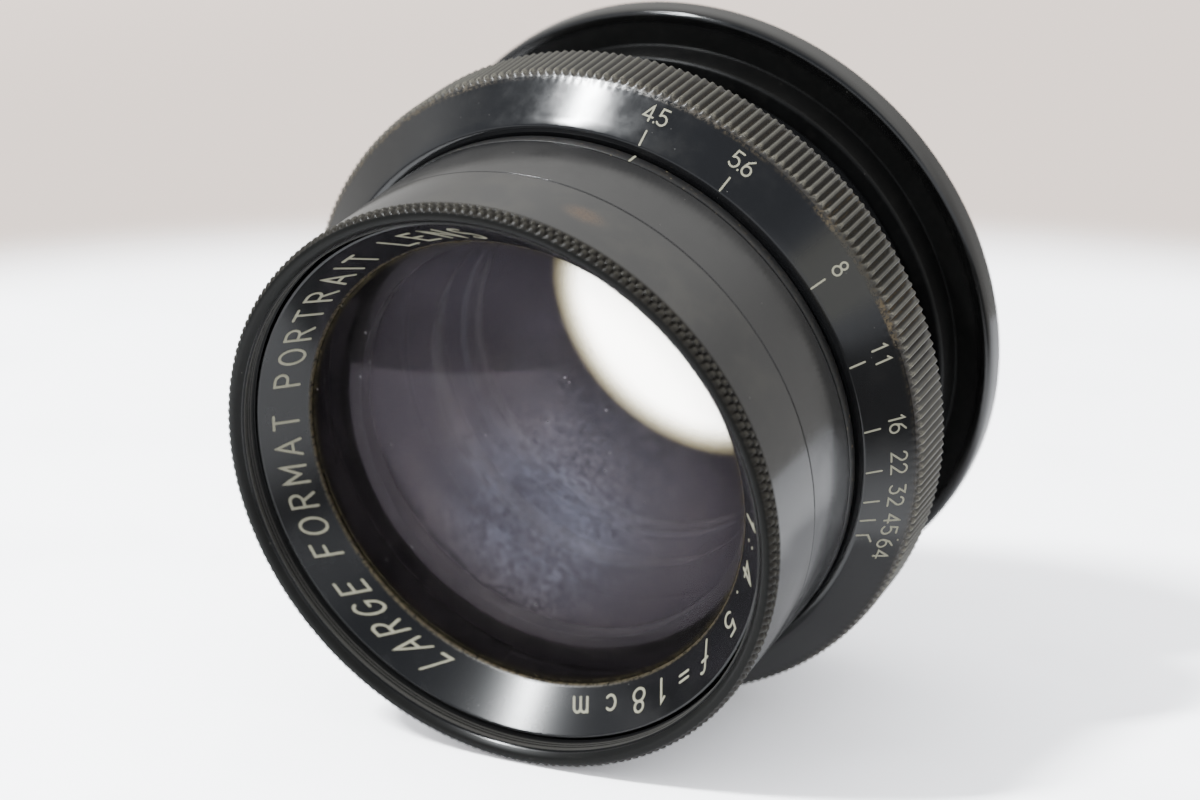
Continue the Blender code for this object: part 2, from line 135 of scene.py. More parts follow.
def finish_piece(obj, body, material, stands_for=()):
    obj.data.materials.clear()
    obj.data.materials.append(material)
    if obj.name not in bpy.context.scene.collection.objects:
        bpy.context.scene.collection.objects.link(obj)
    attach(obj, body)
    if stands_for:
        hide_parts(*stands_for)
    return obj


def lathe_mesh(name, profile, segments=SEGMENTS, shape=None, sharp=50.0):
    """A turned mesh. The profile's (r, h) points run down its outer side and up its inner side. `shape` takes
    the arrays r, h and angle and returns a new r, for teeth."""
    rings = np.array(profile, float)
    angles = np.arange(segments) * (math.tau / segments)
    r = np.repeat(rings[:, :1], segments, axis=1)
    h = np.repeat(rings[:, 1:], segments, axis=1)
    if shape:
        r = shape(r, h, angles[None, :])
    points = np.stack([r * np.sin(angles), REAR_Y / MM - h, r * np.cos(angles)], axis=-1) * MM
    ring_index = np.arange(len(rings))[:, None]
    turn_index = np.arange(segments)[None, :]
    next_ring = (ring_index + 1) % len(rings)
    next_turn = (turn_index + 1) % segments
    corners = [
        ring_index * segments + turn_index, ring_index * segments + next_turn,
        next_ring * segments + next_turn, next_ring * segments + turn_index,
    ]
    faces = np.stack(corners, axis=-1).reshape(-1, 4)
    mesh = bpy.data.meshes.new(name)
    mesh.from_pydata(points.reshape(-1, 3).tolist(), [], faces.tolist())
    if rings[:, 0].min() < 1e-9:
        tidy = bmesh.new()
        tidy.from_mesh(mesh)
        bmesh.ops.remove_doubles(tidy, verts=tidy.verts, dist=1e-8)
        bmesh.ops.dissolve_degenerate(tidy, edges=tidy.edges, dist=1e-8)
        tidy.to_mesh(mesh)
        tidy.free()
    mesh.shade_smooth()
    mesh.set_sharp_from_angle(angle=math.radians(sharp))
    return mesh


def lathe(name, profile, body, slot, material, stands_for=(), weighted=True, **options):
    obj = bpy.data.objects.new(name, lathe_mesh(name, profile, **options))
    finish_piece(obj, body, material, stands_for)
    if weighted:
        normals = obj.modifiers.new("even_normals", "WEIGHTED_NORMAL")
        normals.keep_sharp = True
    return obj


def apply_cut(obj, cutter):
    """Cuts the cutter from the object, and removes the cutter."""
    bpy.context.scene.collection.objects.link(cutter)
    boolean = obj.modifiers.new("cut", "BOOLEAN")
    boolean.operation = "DIFFERENCE"
    boolean.solver = "EXACT"
    boolean.object = cutter
    while obj.modifiers[0] != boolean:
        obj.modifiers.move(obj.modifiers.find("cut"), 0)
    graph = bpy.context.evaluated_depsgraph_get()
    others = [m for m in obj.modifiers if m != boolean]
    for modifier in others:
        modifier.show_viewport = False
    graph.update()
    obj.data = bpy.data.meshes.new_from_object(obj.evaluated_get(graph))
    obj.modifiers.remove(boolean)
    for modifier in others:
        modifier.show_viewport = True
    bpy.data.objects.remove(cutter, do_unlink=True)


def radial_rod(name, radius, inner, outer, turn, h, sides=32):
    """A rod along the radius at this turn and height, between two radii."""
    shape = bmesh.new()
    bmesh.ops.create_cone(
        shape, cap_ends=True, segments=sides, radius1=radius * MM, radius2=radius * MM, depth=(outer - inner) * MM
    )
    mesh = bpy.data.meshes.new(name)
    shape.to_mesh(mesh)
    shape.free()
    rod = bpy.data.objects.new(name, mesh)
    away = place(1.0, turn, 0.0) - place(0.0, turn, 0.0)
    rod.matrix_world = Matrix.Translation(place((inner + outer) / 2, turn, h)) @ (
        away.to_track_quat("Z", "Y").to_matrix().to_4x4()
    )
    return rod


# ---------------------------------------------------------------- node materials


class Paint:
    """A node material being made, with the lens's own coordinates ready to use: x, y, z, r and h in
    millimetres, and the turn in degrees."""

    def __init__(self, name):
        self.material = bpy.data.materials.new(name)
        self.material.use_nodes = True
        self.tree = self.material.node_tree
        self.tree.nodes.clear()
        spot = self.node("TexCoord").outputs["Object"]
        self.mm = self.vector("SCALE", spot, Scale=1 / MM)
        parts = self.node("SeparateXYZ", Vector=self.mm)
        self.x, self.y, self.z = parts.outputs
        flat = self.node("CombineXYZ", X=self.x, Y=0.0, Z=self.z).outputs[0]
        self.r = self.vector("LENGTH", flat)
        self.h = self.math("SUBTRACT", REAR_Y / MM, self.y)
        self.turn = self.math("DEGREES", self.math("ARCTAN2", self.x, self.z))

    def node(self, kind, settings=None, **inputs):
        made = self.tree.nodes.new("ShaderNode" + kind)
        for key, value in (settings or {}).items():
            setattr(made, key, value)
        for key, value in inputs.items():
            self.put(made.inputs[key.replace("_", " ")], value)
        return made

    def put(self, socket, value):
        if isinstance(value, bpy.types.NodeSocket):
            self.tree.links.new(value, socket)
        elif isinstance(value, tuple) and len(value) == 3 and len(socket.default_value) == 4:
            socket.default_value = (*value, 1.0)
        else:
            socket.default_value = value

    def vector(self, operation, first, **inputs):
        made = self.node("VectorMath", {"operation": operation}, **inputs)
        self.put(made.inputs[0], first)
        return made.outputs["Value" if operation in ("LENGTH", "DOT_PRODUCT") else "Vector"]

    def math(self, operation, *values, clamp=False):
        made = self.node("Math", {"operation": operation, "use_clamp": clamp})
        for socket, value in zip(made.inputs, values):
            self.put(socket, value)
        return made.outputs[0]

    def times(self, *values):
        result = values[0]
        for value in values[1:]:
            result = self.math("MULTIPLY", result, value)
        return result

    def most(self, *values):
        result = values[0]
        for value in values[1:]:
            result = self.math("MAXIMUM", result, value)
        return result

    def between(self, value, low, high, start=0.0, end=1.0):
        """The value eased from start at low to end at high."""
        made = self.node("MapRange", {"interpolation_type": "SMOOTHSTEP"})
        for key, number in (("Value", value), ("From Min", low), ("From Max", high), ("To Min", start), ("To Max", end)):
            self.put(made.inputs[key], number)
        return made.outputs[0]

    def window(self, value, low, high, soft):
        """1 between low and high, easing to 0 over `soft` on either side."""
        rise = self.between(value, low - soft, low)
        fall = self.between(value, high, high + soft, 1.0, 0.0)
        return self.times(rise, fall)

    def near_edge(self, r, h, reach):
        """1 on the circular edge at (r, h), easing to 0 at `reach` from it."""
        across = self.math("SUBTRACT", self.r, r)
        along = self.math("SUBTRACT", self.h, h)
        gap = self.math("SQRT", self.math("ADD", self.times(across, across), self.times(along, along)))
        return self.between(gap, reach * 0.2, reach, 1.0, 0.0)

    def noise(self, scale, detail=3.0, roughness=0.55, coords=None, **settings):
        made = self.node("TexNoise", Vector=coords or self.mm, Scale=scale, Detail=detail, Roughness=roughness)
        return made.outputs[0]

    def specks(self, spacing, size, share, coords=None):
        """Round specks on a loose grid of this spacing. `share` of the grid's cells hold one."""
        cells = self.node("TexVoronoi", Vector=coords or self.mm, Scale=1 / spacing)
        inside = self.math("LESS_THAN", cells.outputs["Distance"], size / spacing)
        chance = self.node("SeparateColor", Color=cells.outputs["Color"])
        held = self.math("LESS_THAN", chance.outputs[0], share)
        # The green channel varies each speck's strength.
        return self.times(inside, held, self.between(chance.outputs[1], 0.0, 1.0, 0.25, 1.0))

    def turned_lines(self, per_mm, slope=0.37):
        """Fine grooves left by the lathe, as a noise along the profile that hardly changes round the axis."""
        along = self.math("ADD", self.r, self.times(self.h, slope))
        where = self.node("CombineXYZ", X=self.times(along, per_mm), Y=self.times(self.turn, 0.004), Z=0.0)
        return self.noise(1.0, 2.0, 0.6, where.outputs[0])

    def mix(self, share, first, second):
        made = self.node("Mix", {"data_type": "RGBA"})
        self.put(made.inputs[0], share)
        self.put(made.inputs[6], first)
        self.put(made.inputs[7], second)
        return made.outputs[2]

    def blend(self, share, first, second):
        made = self.node("MixShader")
        for socket, value in zip(made.inputs, (share, first, second)):
            self.put(socket, value)
        return made.outputs[0]

    def bump(self, height, microns, under=None):
        made = self.node("Bump", Height=height, Distance=microns * 1e-6, Strength=1.0)
        if under:
            self.put(made.inputs["Normal"], under)
        return made.outputs[0]

    def principled(self, **inputs):
        return self.node("BsdfPrincipled", **inputs).outputs[0]

    def done(self, shader):
        self.node("OutputMaterial", Surface=shader)
        return self.material


BLACK = (0.011, 0.0112, 0.012)
DULL_BLACK = (0.016, 0.016, 0.0165)
DUST = (0.20, 0.19, 0.17)
GRIME = (0.17, 0.125, 0.06)
BARE_METAL = (0.34, 0.31, 0.26)
CREAM = (0.47, 0.455, 0.33)


def ring_tangent(paint):
    return paint.node("Tangent", {"direction_type": "RADIAL", "axis": "Y"}).outputs[0]


def lacquer(name, base=BLACK, rough=0.20, dust=0.5, edges=(), lines=0.6, streak=0.0, extra=None, shine=0.55, dull=None):
    """Black lacquer over turned brass: fine turning lines, soft stains, dust specks, and the colour of bare
    metal along worn edges, each given as (r, h, reach)."""
    paint = Paint(name)
    cloud = paint.noise(0.22, 4.0, 0.6)
    stain = paint.between(paint.noise(0.75, 5.0, 0.65), 0.50, 0.72)
    fine = paint.noise(9.0, 3.0, 0.7)
    colour = paint.mix(paint.times(stain, 0.25), base, (0.020, 0.019, 0.017))
    powder = paint.times(paint.between(fine, 0.52, 0.80), paint.between(cloud, 0.35, 0.75), 0.10 * dust)
    specks = paint.most(paint.specks(0.9, 0.055, 0.20 * dust), paint.specks(2.3, 0.09, 0.10 * dust))
    colour = paint.mix(paint.most(powder, specks), colour, DUST)
    metallic = 0.0
    for r, h, reach in edges:
        worn = paint.near_edge(r, h, reach)
        chipped = paint.times(worn, paint.between(paint.noise(2.6, 4.0, 0.7), 0.48, 0.66))
        colour = paint.mix(paint.times(chipped, 0.6), colour, BARE_METAL)
        metallic = paint.math("MAXIMUM", metallic, paint.times(chipped, 0.8))
    if extra:
        colour = extra(paint, colour)
    roughness = paint.math("ADD", rough, paint.times(paint.between(cloud, 0.3, 0.7), 0.10))
    roughness = paint.math("ADD", roughness, paint.times(specks, 0.5), clamp=True)
    if dull:
        where = dull(paint)
        roughness = paint.math("ADD", roughness, paint.times(where, 0.28), clamp=True)
        shine = paint.math("SUBTRACT", shine, paint.times(where, shine * 0.75))
    normal = paint.bump(paint.turned_lines(6.0), lines)
    normal = paint.bump(fine, 0.35, normal)
    shader = paint.principled(
        Base_Color=colour, Roughness=roughness, Metallic=metallic, Normal=normal, Anisotropic=streak,
        Tangent=ring_tangent(paint), Specular_IOR_Level=shine,
    )
    return paint.done(shader)


def rim_paint():
    """The front sleeve: glossy lacquer, teeth worn to grey round the rim, and a dark thread in its mouth with a painted
    highlight along its crests.
    """
    paint = Paint("front_sleeve_lacquer")
    cloud = paint.noise(0.25, 4.0, 0.6)
    fine = paint.noise(8.0, 3.0, 0.7)
    in_front = paint.between(paint.h, RIM_FRONT - 2.0, RIM_FRONT - 1.85)
    band = paint.times(in_front, paint.between(paint.r, RIM_ROOT_RADIUS - 0.02, RIM_ROOT_RADIUS + 0.04))
    crest = paint.times(in_front, paint.between(paint.r, RIM_RADIUS - 0.20, RIM_RADIUS - 0.04))
    face = paint.times(in_front, paint.window(paint.r, 25.58, RIM_ROOT_RADIUS, 0.08))
    mouth = paint.between(paint.r, 25.56, 25.48)
    # The thread crests in the mouth are painted lighter: a painted highlight, not wear.
    thread_crest_highlight = paint.times(mouth, in_front, paint.between(paint.r, FILTER_RADIUS + 0.09, FILTER_RADIUS + 0.01))
    colour = paint.mix(paint.between(cloud, 0.40, 0.70, 0.0, 0.7), BLACK, (0.034, 0.032, 0.027))
    colour = paint.mix(paint.times(face, 0.9), colour, (0.012, 0.012, 0.011))
    dirt = paint.times(band, paint.between(fine, 0.30, 0.60))
    colour = paint.mix(paint.times(dirt, 0.7), colour, (0.032, 0.027, 0.019))
    bare = paint.times(crest, paint.between(paint.noise(1.3, 4.0, 0.7), 0.34, 0.62, 0.1, 1.0))
    colour = paint.mix(paint.times(bare, 0.8), colour, (0.085, 0.080, 0.066))
    colour = paint.mix(mouth, colour, (0.009, 0.009, 0.009))
    # Lays the painted highlight on the thread crests.
    colour = paint.mix(paint.times(thread_crest_highlight, 0.8), colour, (0.10, 0.097, 0.088))
    seam = paint.near_edge(SLEEVE_RADIUS, SEAM + 0.05, 0.10)
    colour = paint.mix(paint.times(seam, 0.3), colour, (0.045, 0.040, 0.032))
    # A rubbed brown patch near the top, off to one side.
    across = paint.times(paint.math("SUBTRACT", paint.turn, 20.0), 0.47)
    along = paint.times(paint.math("SUBTRACT", paint.h, 37.8), 1.6)
    far = paint.math("SQRT", paint.math("ADD", paint.times(across, across), paint.times(along, along)))
    rubbed = paint.times(paint.between(far, 0.4, 2.6, 1.0, 0.0), paint.between(fine, 0.25, 0.6))
    colour = paint.mix(paint.times(rubbed, 0.8), colour, (0.125, 0.080, 0.048))
    specks = paint.most(paint.specks(1.1, 0.05, 0.12), paint.specks(2.9, 0.09, 0.08))
    colour = paint.mix(paint.times(specks, 0.8), colour, DUST)
    scratch_where = paint.node("CombineXYZ", X=paint.times(paint.turn, 0.10), Y=paint.times(paint.h, 2.6), Z=0.0)
    scratch = paint.between(paint.noise(1.0, 4.0, 0.75, scratch_where.outputs[0]), 0.66, 0.76)
    colour = paint.mix(paint.times(scratch, 0.35), colour, (0.09, 0.085, 0.072))
    roughness = paint.math("ADD", 0.11, paint.times(paint.between(cloud, 0.3, 0.7), 0.07))
    roughness = paint.math("ADD", roughness, paint.times(paint.most(face, band), 0.20))
    roughness = paint.math("ADD", roughness, paint.times(paint.most(specks, rubbed), 0.3), clamp=True)
    normal = paint.bump(paint.turned_lines(5.0), 0.4)
    normal = paint.bump(fine, 0.25, normal)
    level = paint.math("SUBTRACT", 1.0, paint.times(paint.most(face, paint.times(band, 0.85), mouth), 0.85))
    shader = paint.principled(
        Base_Color=colour, Roughness=roughness, Metallic=paint.times(bare, 0.6), Normal=normal,
        Specular_IOR_Level=level,
    )
    return paint.done(shader)


def ring_paint():
    """The aperture ring: gloss black on the engraved cone, teeth worn to grey with painted glints on their front ends,
    and grime packed along the front of the teeth."""
    paint = Paint("aperture_ring_lacquer")
    cloud = paint.noise(0.3, 4.0, 0.6)
    fine = paint.noise(7.0, 4.0, 0.7)
    teeth = paint.window(paint.h, RING_REAR - 0.1, BAND_FRONT + 0.45, 0.1)
    crest = paint.times(teeth, paint.between(paint.r, RING_RADIUS - 0.20, RING_RADIUS - 0.04))
    colour = paint.mix(paint.between(cloud, 0.5, 0.8, 0.0, 0.5), BLACK, (0.026, 0.025, 0.023))
    colour = paint.mix(paint.times(teeth, 0.8), colour, (0.035, 0.031, 0.026))
    worn = paint.times(crest, paint.between(paint.noise(0.9, 4.0, 0.7), 0.25, 0.60, 0.40, 1.0))
    colour = paint.mix(worn, colour, (0.150, 0.147, 0.125))
    # Light specks along the front ends of the teeth are painted glints.
    tip_glints = paint.times(paint.near_edge(RING_RADIUS, BAND_FRONT, 0.55), paint.between(fine, 0.42, 0.55))
    colour = paint.mix(paint.times(tip_glints, 0.6), colour, (0.34, 0.32, 0.25))
    # The grime lies thickest between the marks 8 and 11, with a little by 4.5.
    foot = paint.window(paint.r, RING_RADIUS - 0.62, RING_RADIUS - 0.42, 0.22)
    patch = paint.most(
        paint.window(paint.turn, 52, 70, 7), paint.times(paint.window(paint.turn, 8, 34, 6), 0.30),
        paint.times(paint.window(paint.turn, -170, -20, 10), 0.35), 0.12,
    )
    grime = paint.times(foot, patch, paint.between(paint.noise(2.6, 5.0, 0.8), 0.42, 0.60))
    colour = paint.mix(grime, colour, GRIME)
    # A thin film of old oil on the cone, by the mark 8.
    film = paint.times(paint.window(paint.turn, 54, 63, 5), paint.window(paint.r, 28.0, RING_RADIUS - 0.5, 0.8))
    colour = paint.mix(paint.times(film, 0.8), colour, (0.034, 0.032, 0.024))
    specks = paint.most(paint.specks(0.8, 0.045, 0.20), paint.specks(2.2, 0.07, 0.12))
    colour = paint.mix(paint.times(specks, 0.6), colour, DUST)
    gloss = paint.math("ADD", 0.10, paint.times(paint.between(cloud, 0.3, 0.7), 0.06))
    gloss = paint.math("ADD", gloss, paint.times(teeth, 0.20))
    gloss = paint.math("ADD", gloss, paint.times(paint.most(grime, specks), 0.5), clamp=True)
    normal = paint.bump(paint.turned_lines(7.0, 0.15), 0.55)
    normal = paint.bump(paint.most(fine, grime), 0.5, normal)
    cone_only = paint.times(paint.math("SUBTRACT", 1.0, teeth), 0.6)
    shader = paint.principled(
        Base_Color=colour, Roughness=gloss, Metallic=paint.times(worn, 0.75), Normal=normal,
        Anisotropic=cone_only, Tangent=ring_tangent(paint), Specular_IOR_Level=0.75,
    )
    return paint.done(shader)


def name_ring_paint():
    """The engraved cone: black over clear turning lines, which draw a highlight out along the slope."""
    paint = Paint("engraved_ring_black")
    cloud = paint.noise(0.4, 4.0, 0.6)
    fine = paint.noise(9.0, 3.0, 0.7)
    colour = paint.mix(paint.between(cloud, 0.45, 0.8, 0.0, 0.5), BLACK, (0.026, 0.026, 0.026))
    lip = paint.near_edge(CLEAR_RADIUS + 0.05, NAME_BOTTOM + 0.85, 0.42)
    dirt = paint.times(lip, paint.between(paint.noise(3.5, 5.0, 0.75), 0.36, 0.60))
    colour = paint.mix(paint.times(dirt, 0.75), colour, (0.155, 0.125, 0.065))
    specks = paint.most(paint.specks(0.8, 0.05, 0.10), paint.specks(2.4, 0.09, 0.08))
    colour = paint.mix(paint.times(specks, 0.8), colour, DUST)
    roughness = paint.math("ADD", 0.17, paint.times(paint.most(dirt, specks), 0.45), clamp=True)
    normal = paint.bump(paint.turned_lines(7.5, 0.9), 0.9)
    normal = paint.bump(fine, 0.3, normal)
    shader = paint.principled(
        Base_Color=colour, Roughness=roughness, Normal=normal, Anisotropic=0.7,
        Tangent=ring_tangent(paint), Specular_IOR_Level=0.5,
    )
    return paint.done(shader)


def flange_paint():
    """Thick gloss lacquer, dulled by dust on the flange's flat face and bright on its bevelled rim."""

    def dusty_face(paint, colour):
        flat = paint.times(paint.window(paint.r, BOSS_RADIUS + 0.1, FLANGE_RADIUS - 1.5, 0.25), paint.between(paint.h, 2.4, 2.6))
        soft = paint.times(flat, paint.between(paint.noise(1.4, 5.0, 0.7), 0.35, 0.75, 0.15, 0.6))
        return paint.mix(soft, colour, (0.009, 0.009, 0.008))

    def inside_rim(paint):
        return paint.between(paint.r, FLANGE_RADIUS - 1.15, FLANGE_RADIUS - 1.35)

    return lacquer("gloss_black_lacquer", (0.004, 0.004, 0.004), 0.10, 0.4, (), 0.3, 0.0, dusty_face, 1.0, inside_rim)


def matt_paint():
    paint = Paint("matt_black_paint")
    grain = paint.noise(5.0, 2.0, 0.6)
    cloud = paint.noise(0.8, 4.0, 0.6)
    colour = paint.mix(paint.between(cloud, 0.4, 0.8), (0.012, 0.012, 0.012), (0.024, 0.023, 0.022))
    colour = paint.mix(paint.specks(1.0, 0.06, 0.15), colour, DUST)
    normal = paint.bump(grain, 1.5)
    return paint.done(paint.principled(Base_Color=colour, Roughness=0.62, Normal=normal))


def blade_paint():
    """Blued spring steel. The rub noise reads one fixed point, so the blades get an even roughness and no rubbed sheen,
    colour or bump.
    """
    paint = Paint("blued_steel")
    cloud = paint.noise(0.5, 4.0, 0.6)
    rub = paint.noise(1.0, 3.0, 0.7, paint.vector("MULTIPLY", paint.mm, Vector=(6.0, 1.0, 0.9)))
    colour = paint.mix(cloud, (0.032, 0.036, 0.050), (0.075, 0.080, 0.098))
    colour = paint.mix(paint.between(rub, 0.58, 0.72, 0.0, 0.35), colour, (0.15, 0.145, 0.14))
    roughness = paint.between(rub, 0.3, 0.7, 0.30, 0.46)
    shader = paint.principled(Base_Color=colour, Metallic=0.9, Roughness=roughness, Normal=paint.bump(rub, 1.0))
    return paint.done(shader)


def brass_paint():
    paint = Paint("aged_brass")
    cloud = paint.noise(0.9, 4.0, 0.65)
    colour = paint.mix(paint.between(cloud, 0.35, 0.7), (0.40, 0.26, 0.085), (0.17, 0.115, 0.055))
    roughness = paint.between(cloud, 0.3, 0.7, 0.28, 0.48)
    normal = paint.bump(paint.turned_lines(5.0), 1.5)
    return paint.done(paint.principled(Base_Color=colour, Metallic=1.0, Roughness=roughness, Normal=normal))


def blackened_brass_paint():
    """Brass dulled black inside the lens, with a little metal showing through."""
    paint = Paint("blackened_brass")
    cloud = paint.noise(1.2, 4.0, 0.65)
    shows = paint.between(cloud, 0.52, 0.74, 0.0, 0.35)
    colour = paint.mix(shows, (0.022, 0.021, 0.021), (0.16, 0.11, 0.05))
    normal = paint.bump(paint.turned_lines(5.0), 1.2)
    return paint.done(paint.principled(Base_Color=colour, Metallic=paint.times(shows, 2.0), Roughness=0.34, Normal=normal))


def cream_paint():
    """The greenish-cream paint that fills the engraving, thinned and dirty in places."""
    paint = Paint("cream_engraving")
    patch = paint.noise(1.7, 4.0, 0.7)
    grain = paint.noise(11.0, 3.0, 0.75)
    colour = paint.mix(paint.between(patch, 0.45, 0.75, 0.0, 0.6), CREAM, (0.43, 0.42, 0.31))
    colour = paint.mix(paint.between(grain, 0.60, 0.74, 0.0, 0.75), colour, (0.10, 0.09, 0.06))
    normal = paint.bump(grain, 6.0)
    return paint.done(paint.principled(Base_Color=colour, Roughness=0.6, Normal=normal))


def glass_paint(name, mirror, haze, tint, clear, edge_radius, edge_density, dirt=0.0, rough=0.02):
    """Coated glass. Each face mirrors this share of the light, coloured by `tint`, and a film on it scatters
    the share `haze`. Towards `edge_radius` the clear glass darkens: each channel passes exp(-density)."""
    paint = Paint(name)
    facing = paint.node("LayerWeight", Blend=0.5).outputs["Facing"]
    sheen = paint.math("ADD", mirror, paint.times(paint.math("POWER", facing, 5.0), 0.35), clamp=True)
    cloud = paint.noise(0.13, 4.0, 0.6)
    smear = paint.noise(0.50, 4.0, 0.72, paint.vector("MULTIPLY", paint.mm, Vector=(0.5, 1.0, 1.4)))
    fine = paint.noise(1.5, 3.0, 0.7)
    rim = paint.math("POWER", paint.between(paint.r, edge_radius - 5.5, edge_radius), 2.0)
    fall = [paint.math("EXPONENT", paint.times(rim, -density)) for density in edge_density]
    passing = paint.node("CombineColor", Red=fall[0], Green=fall[1], Blue=fall[2]).outputs[0]
    see = paint.node("Mix", {"data_type": "RGBA", "blend_type": "MULTIPLY"})
    for place_in, value in ((0, 1.0), (6, clear), (7, passing)):
        paint.put(see.inputs[place_in], value)
    # The film is thickest a little to the right of the middle and below it.
    aside = paint.math("SUBTRACT", paint.x, 3.0)
    below = paint.math("ADD", paint.z, 3.0)
    off = paint.math("SQRT", paint.math("ADD", paint.times(aside, aside), paint.times(below, below)))
    film = paint.times(
        paint.between(off, 3.0, 17.0, 1.9, 0.26), paint.between(cloud, 0.36, 0.64, 0.5, 1.15),
        paint.between(smear, 0.36, 0.64, 0.12, 2.1), paint.between(fine, 0.36, 0.66, 0.45, 1.7), haze,
    )
    dust = paint.most(
        paint.specks(1.3, 0.10, 0.22 * dirt), paint.specks(3.1, 0.13, 0.40 * dirt), paint.specks(6.5, 0.17, 0.35 * dirt)
    )
    ring = paint.times(
        paint.between(paint.r, CLEAR_RADIUS - 0.50, CLEAR_RADIUS - 0.05), paint.between(paint.h, 35.4, 35.8),
        paint.between(paint.noise(2.4, 5.0, 0.75), 0.36, 0.60), 0.6 * dirt,
    )
    clear_glass = paint.node("BsdfTransparent", Color=see.outputs[2]).outputs[0]
    gloss = paint.node("BsdfGlossy", Color=tint, Roughness=rough).outputs[0]
    outwards = paint.math("ADD", off, paint.times(cloud, 9.0))
    bluish = paint.mix(paint.between(outwards, 9.0, 18.0), (0.46, 0.48, 0.62), (0.54, 0.46, 0.47))
    scatter = paint.node("BsdfDiffuse", Color=bluish).outputs[0]
    lint = paint.node("BsdfDiffuse", Color=(0.45, 0.45, 0.45)).outputs[0]
    brown = paint.node("BsdfDiffuse", Color=(0.15, 0.13, 0.075)).outputs[0]
    shader = paint.blend(sheen, clear_glass, gloss)
    shader = paint.blend(film, shader, scatter)
    shader = paint.blend(paint.times(dust, 0.5), shader, lint)
    shader = paint.blend(ring, shader, brown)
    return paint.done(shader)


LACQUER = lacquer("black_lacquer", rough=0.12, edges=((SLEEVE_RADIUS, SHOULDER, 0.14),), lines=0.4, shine=1.0)


def collar_dirt(paint, colour):
    """Brownish dust lying in the groove in front of the aperture ring."""
    clumps = paint.between(paint.noise(2.2, 6.0, 0.8), 0.50, 0.68)
    colour = paint.mix(paint.times(clumps, 0.45), colour, (0.085, 0.070, 0.048))
    crumbs = paint.most(paint.specks(0.6, 0.10, 0.32), paint.specks(1.4, 0.15, 0.28))
    return paint.mix(crumbs, colour, (0.24, 0.20, 0.13))


DULL_LACQUER = lacquer("dull_lacquer", DULL_BLACK, 0.36, 0.3, lines=0.8, shine=0.35)
COLLAR_LACQUER = lacquer(
    "collar_lacquer", DULL_BLACK, 0.34, 1.2, ((SLEEVE_RADIUS, COLLAR_REAR, 0.10),), 0.8, 0.0, collar_dirt
)
RIM_LACQUER = rim_paint()
RING_LACQUER = ring_paint()
NAME_LACQUER = name_ring_paint()
FLANGE_LACQUER = flange_paint()
MATT_BLACK = matt_paint()
BLUED_STEEL = blade_paint()
BRASS = brass_paint()
BLACKENED_BRASS = blackened_brass_paint()
ENGRAVING = cream_paint()
FRONT_GLASS = glass_paint(
    "front_coated_glass", 0.019, 0.058, (0.88, 0.76, 0.90), (0.88, 0.88, 0.88), 22.5, (0.6, 0.6, 0.6), dirt=1.0
)
INNER_GLASS = glass_paint(
    "inner_coated_glass", 0.009, 0.008, (0.65, 0.66, 0.85), (0.90, 0.90, 0.90), 20.5, (0.8, 0.8, 0.8), 0.0, 0.08
)
REAR_GLASS = glass_paint(
    "rear_coated_glass", 0.010, 0.004, (0.80, 0.66, 0.80), (1.0, 0.997, 0.99), 17.9, (5.6, 5.8, 6.6), 0.0
)


# ---------------------------------------------------------------- engraved lettering


def oval(x, y, across, up, start=0.0, end=360.0, steps=16):
    """Points along an elliptic arc, anticlockwise from +X when end is over start."""
    turns = [math.radians(start + (end - start) * i / steps) for i in range(steps + 1)]
    return [(x + across * math.cos(t), y + up * math.sin(t)) for t in turns]


def dot(x, y):
    return [(x, y), (x, y + 0.02)]


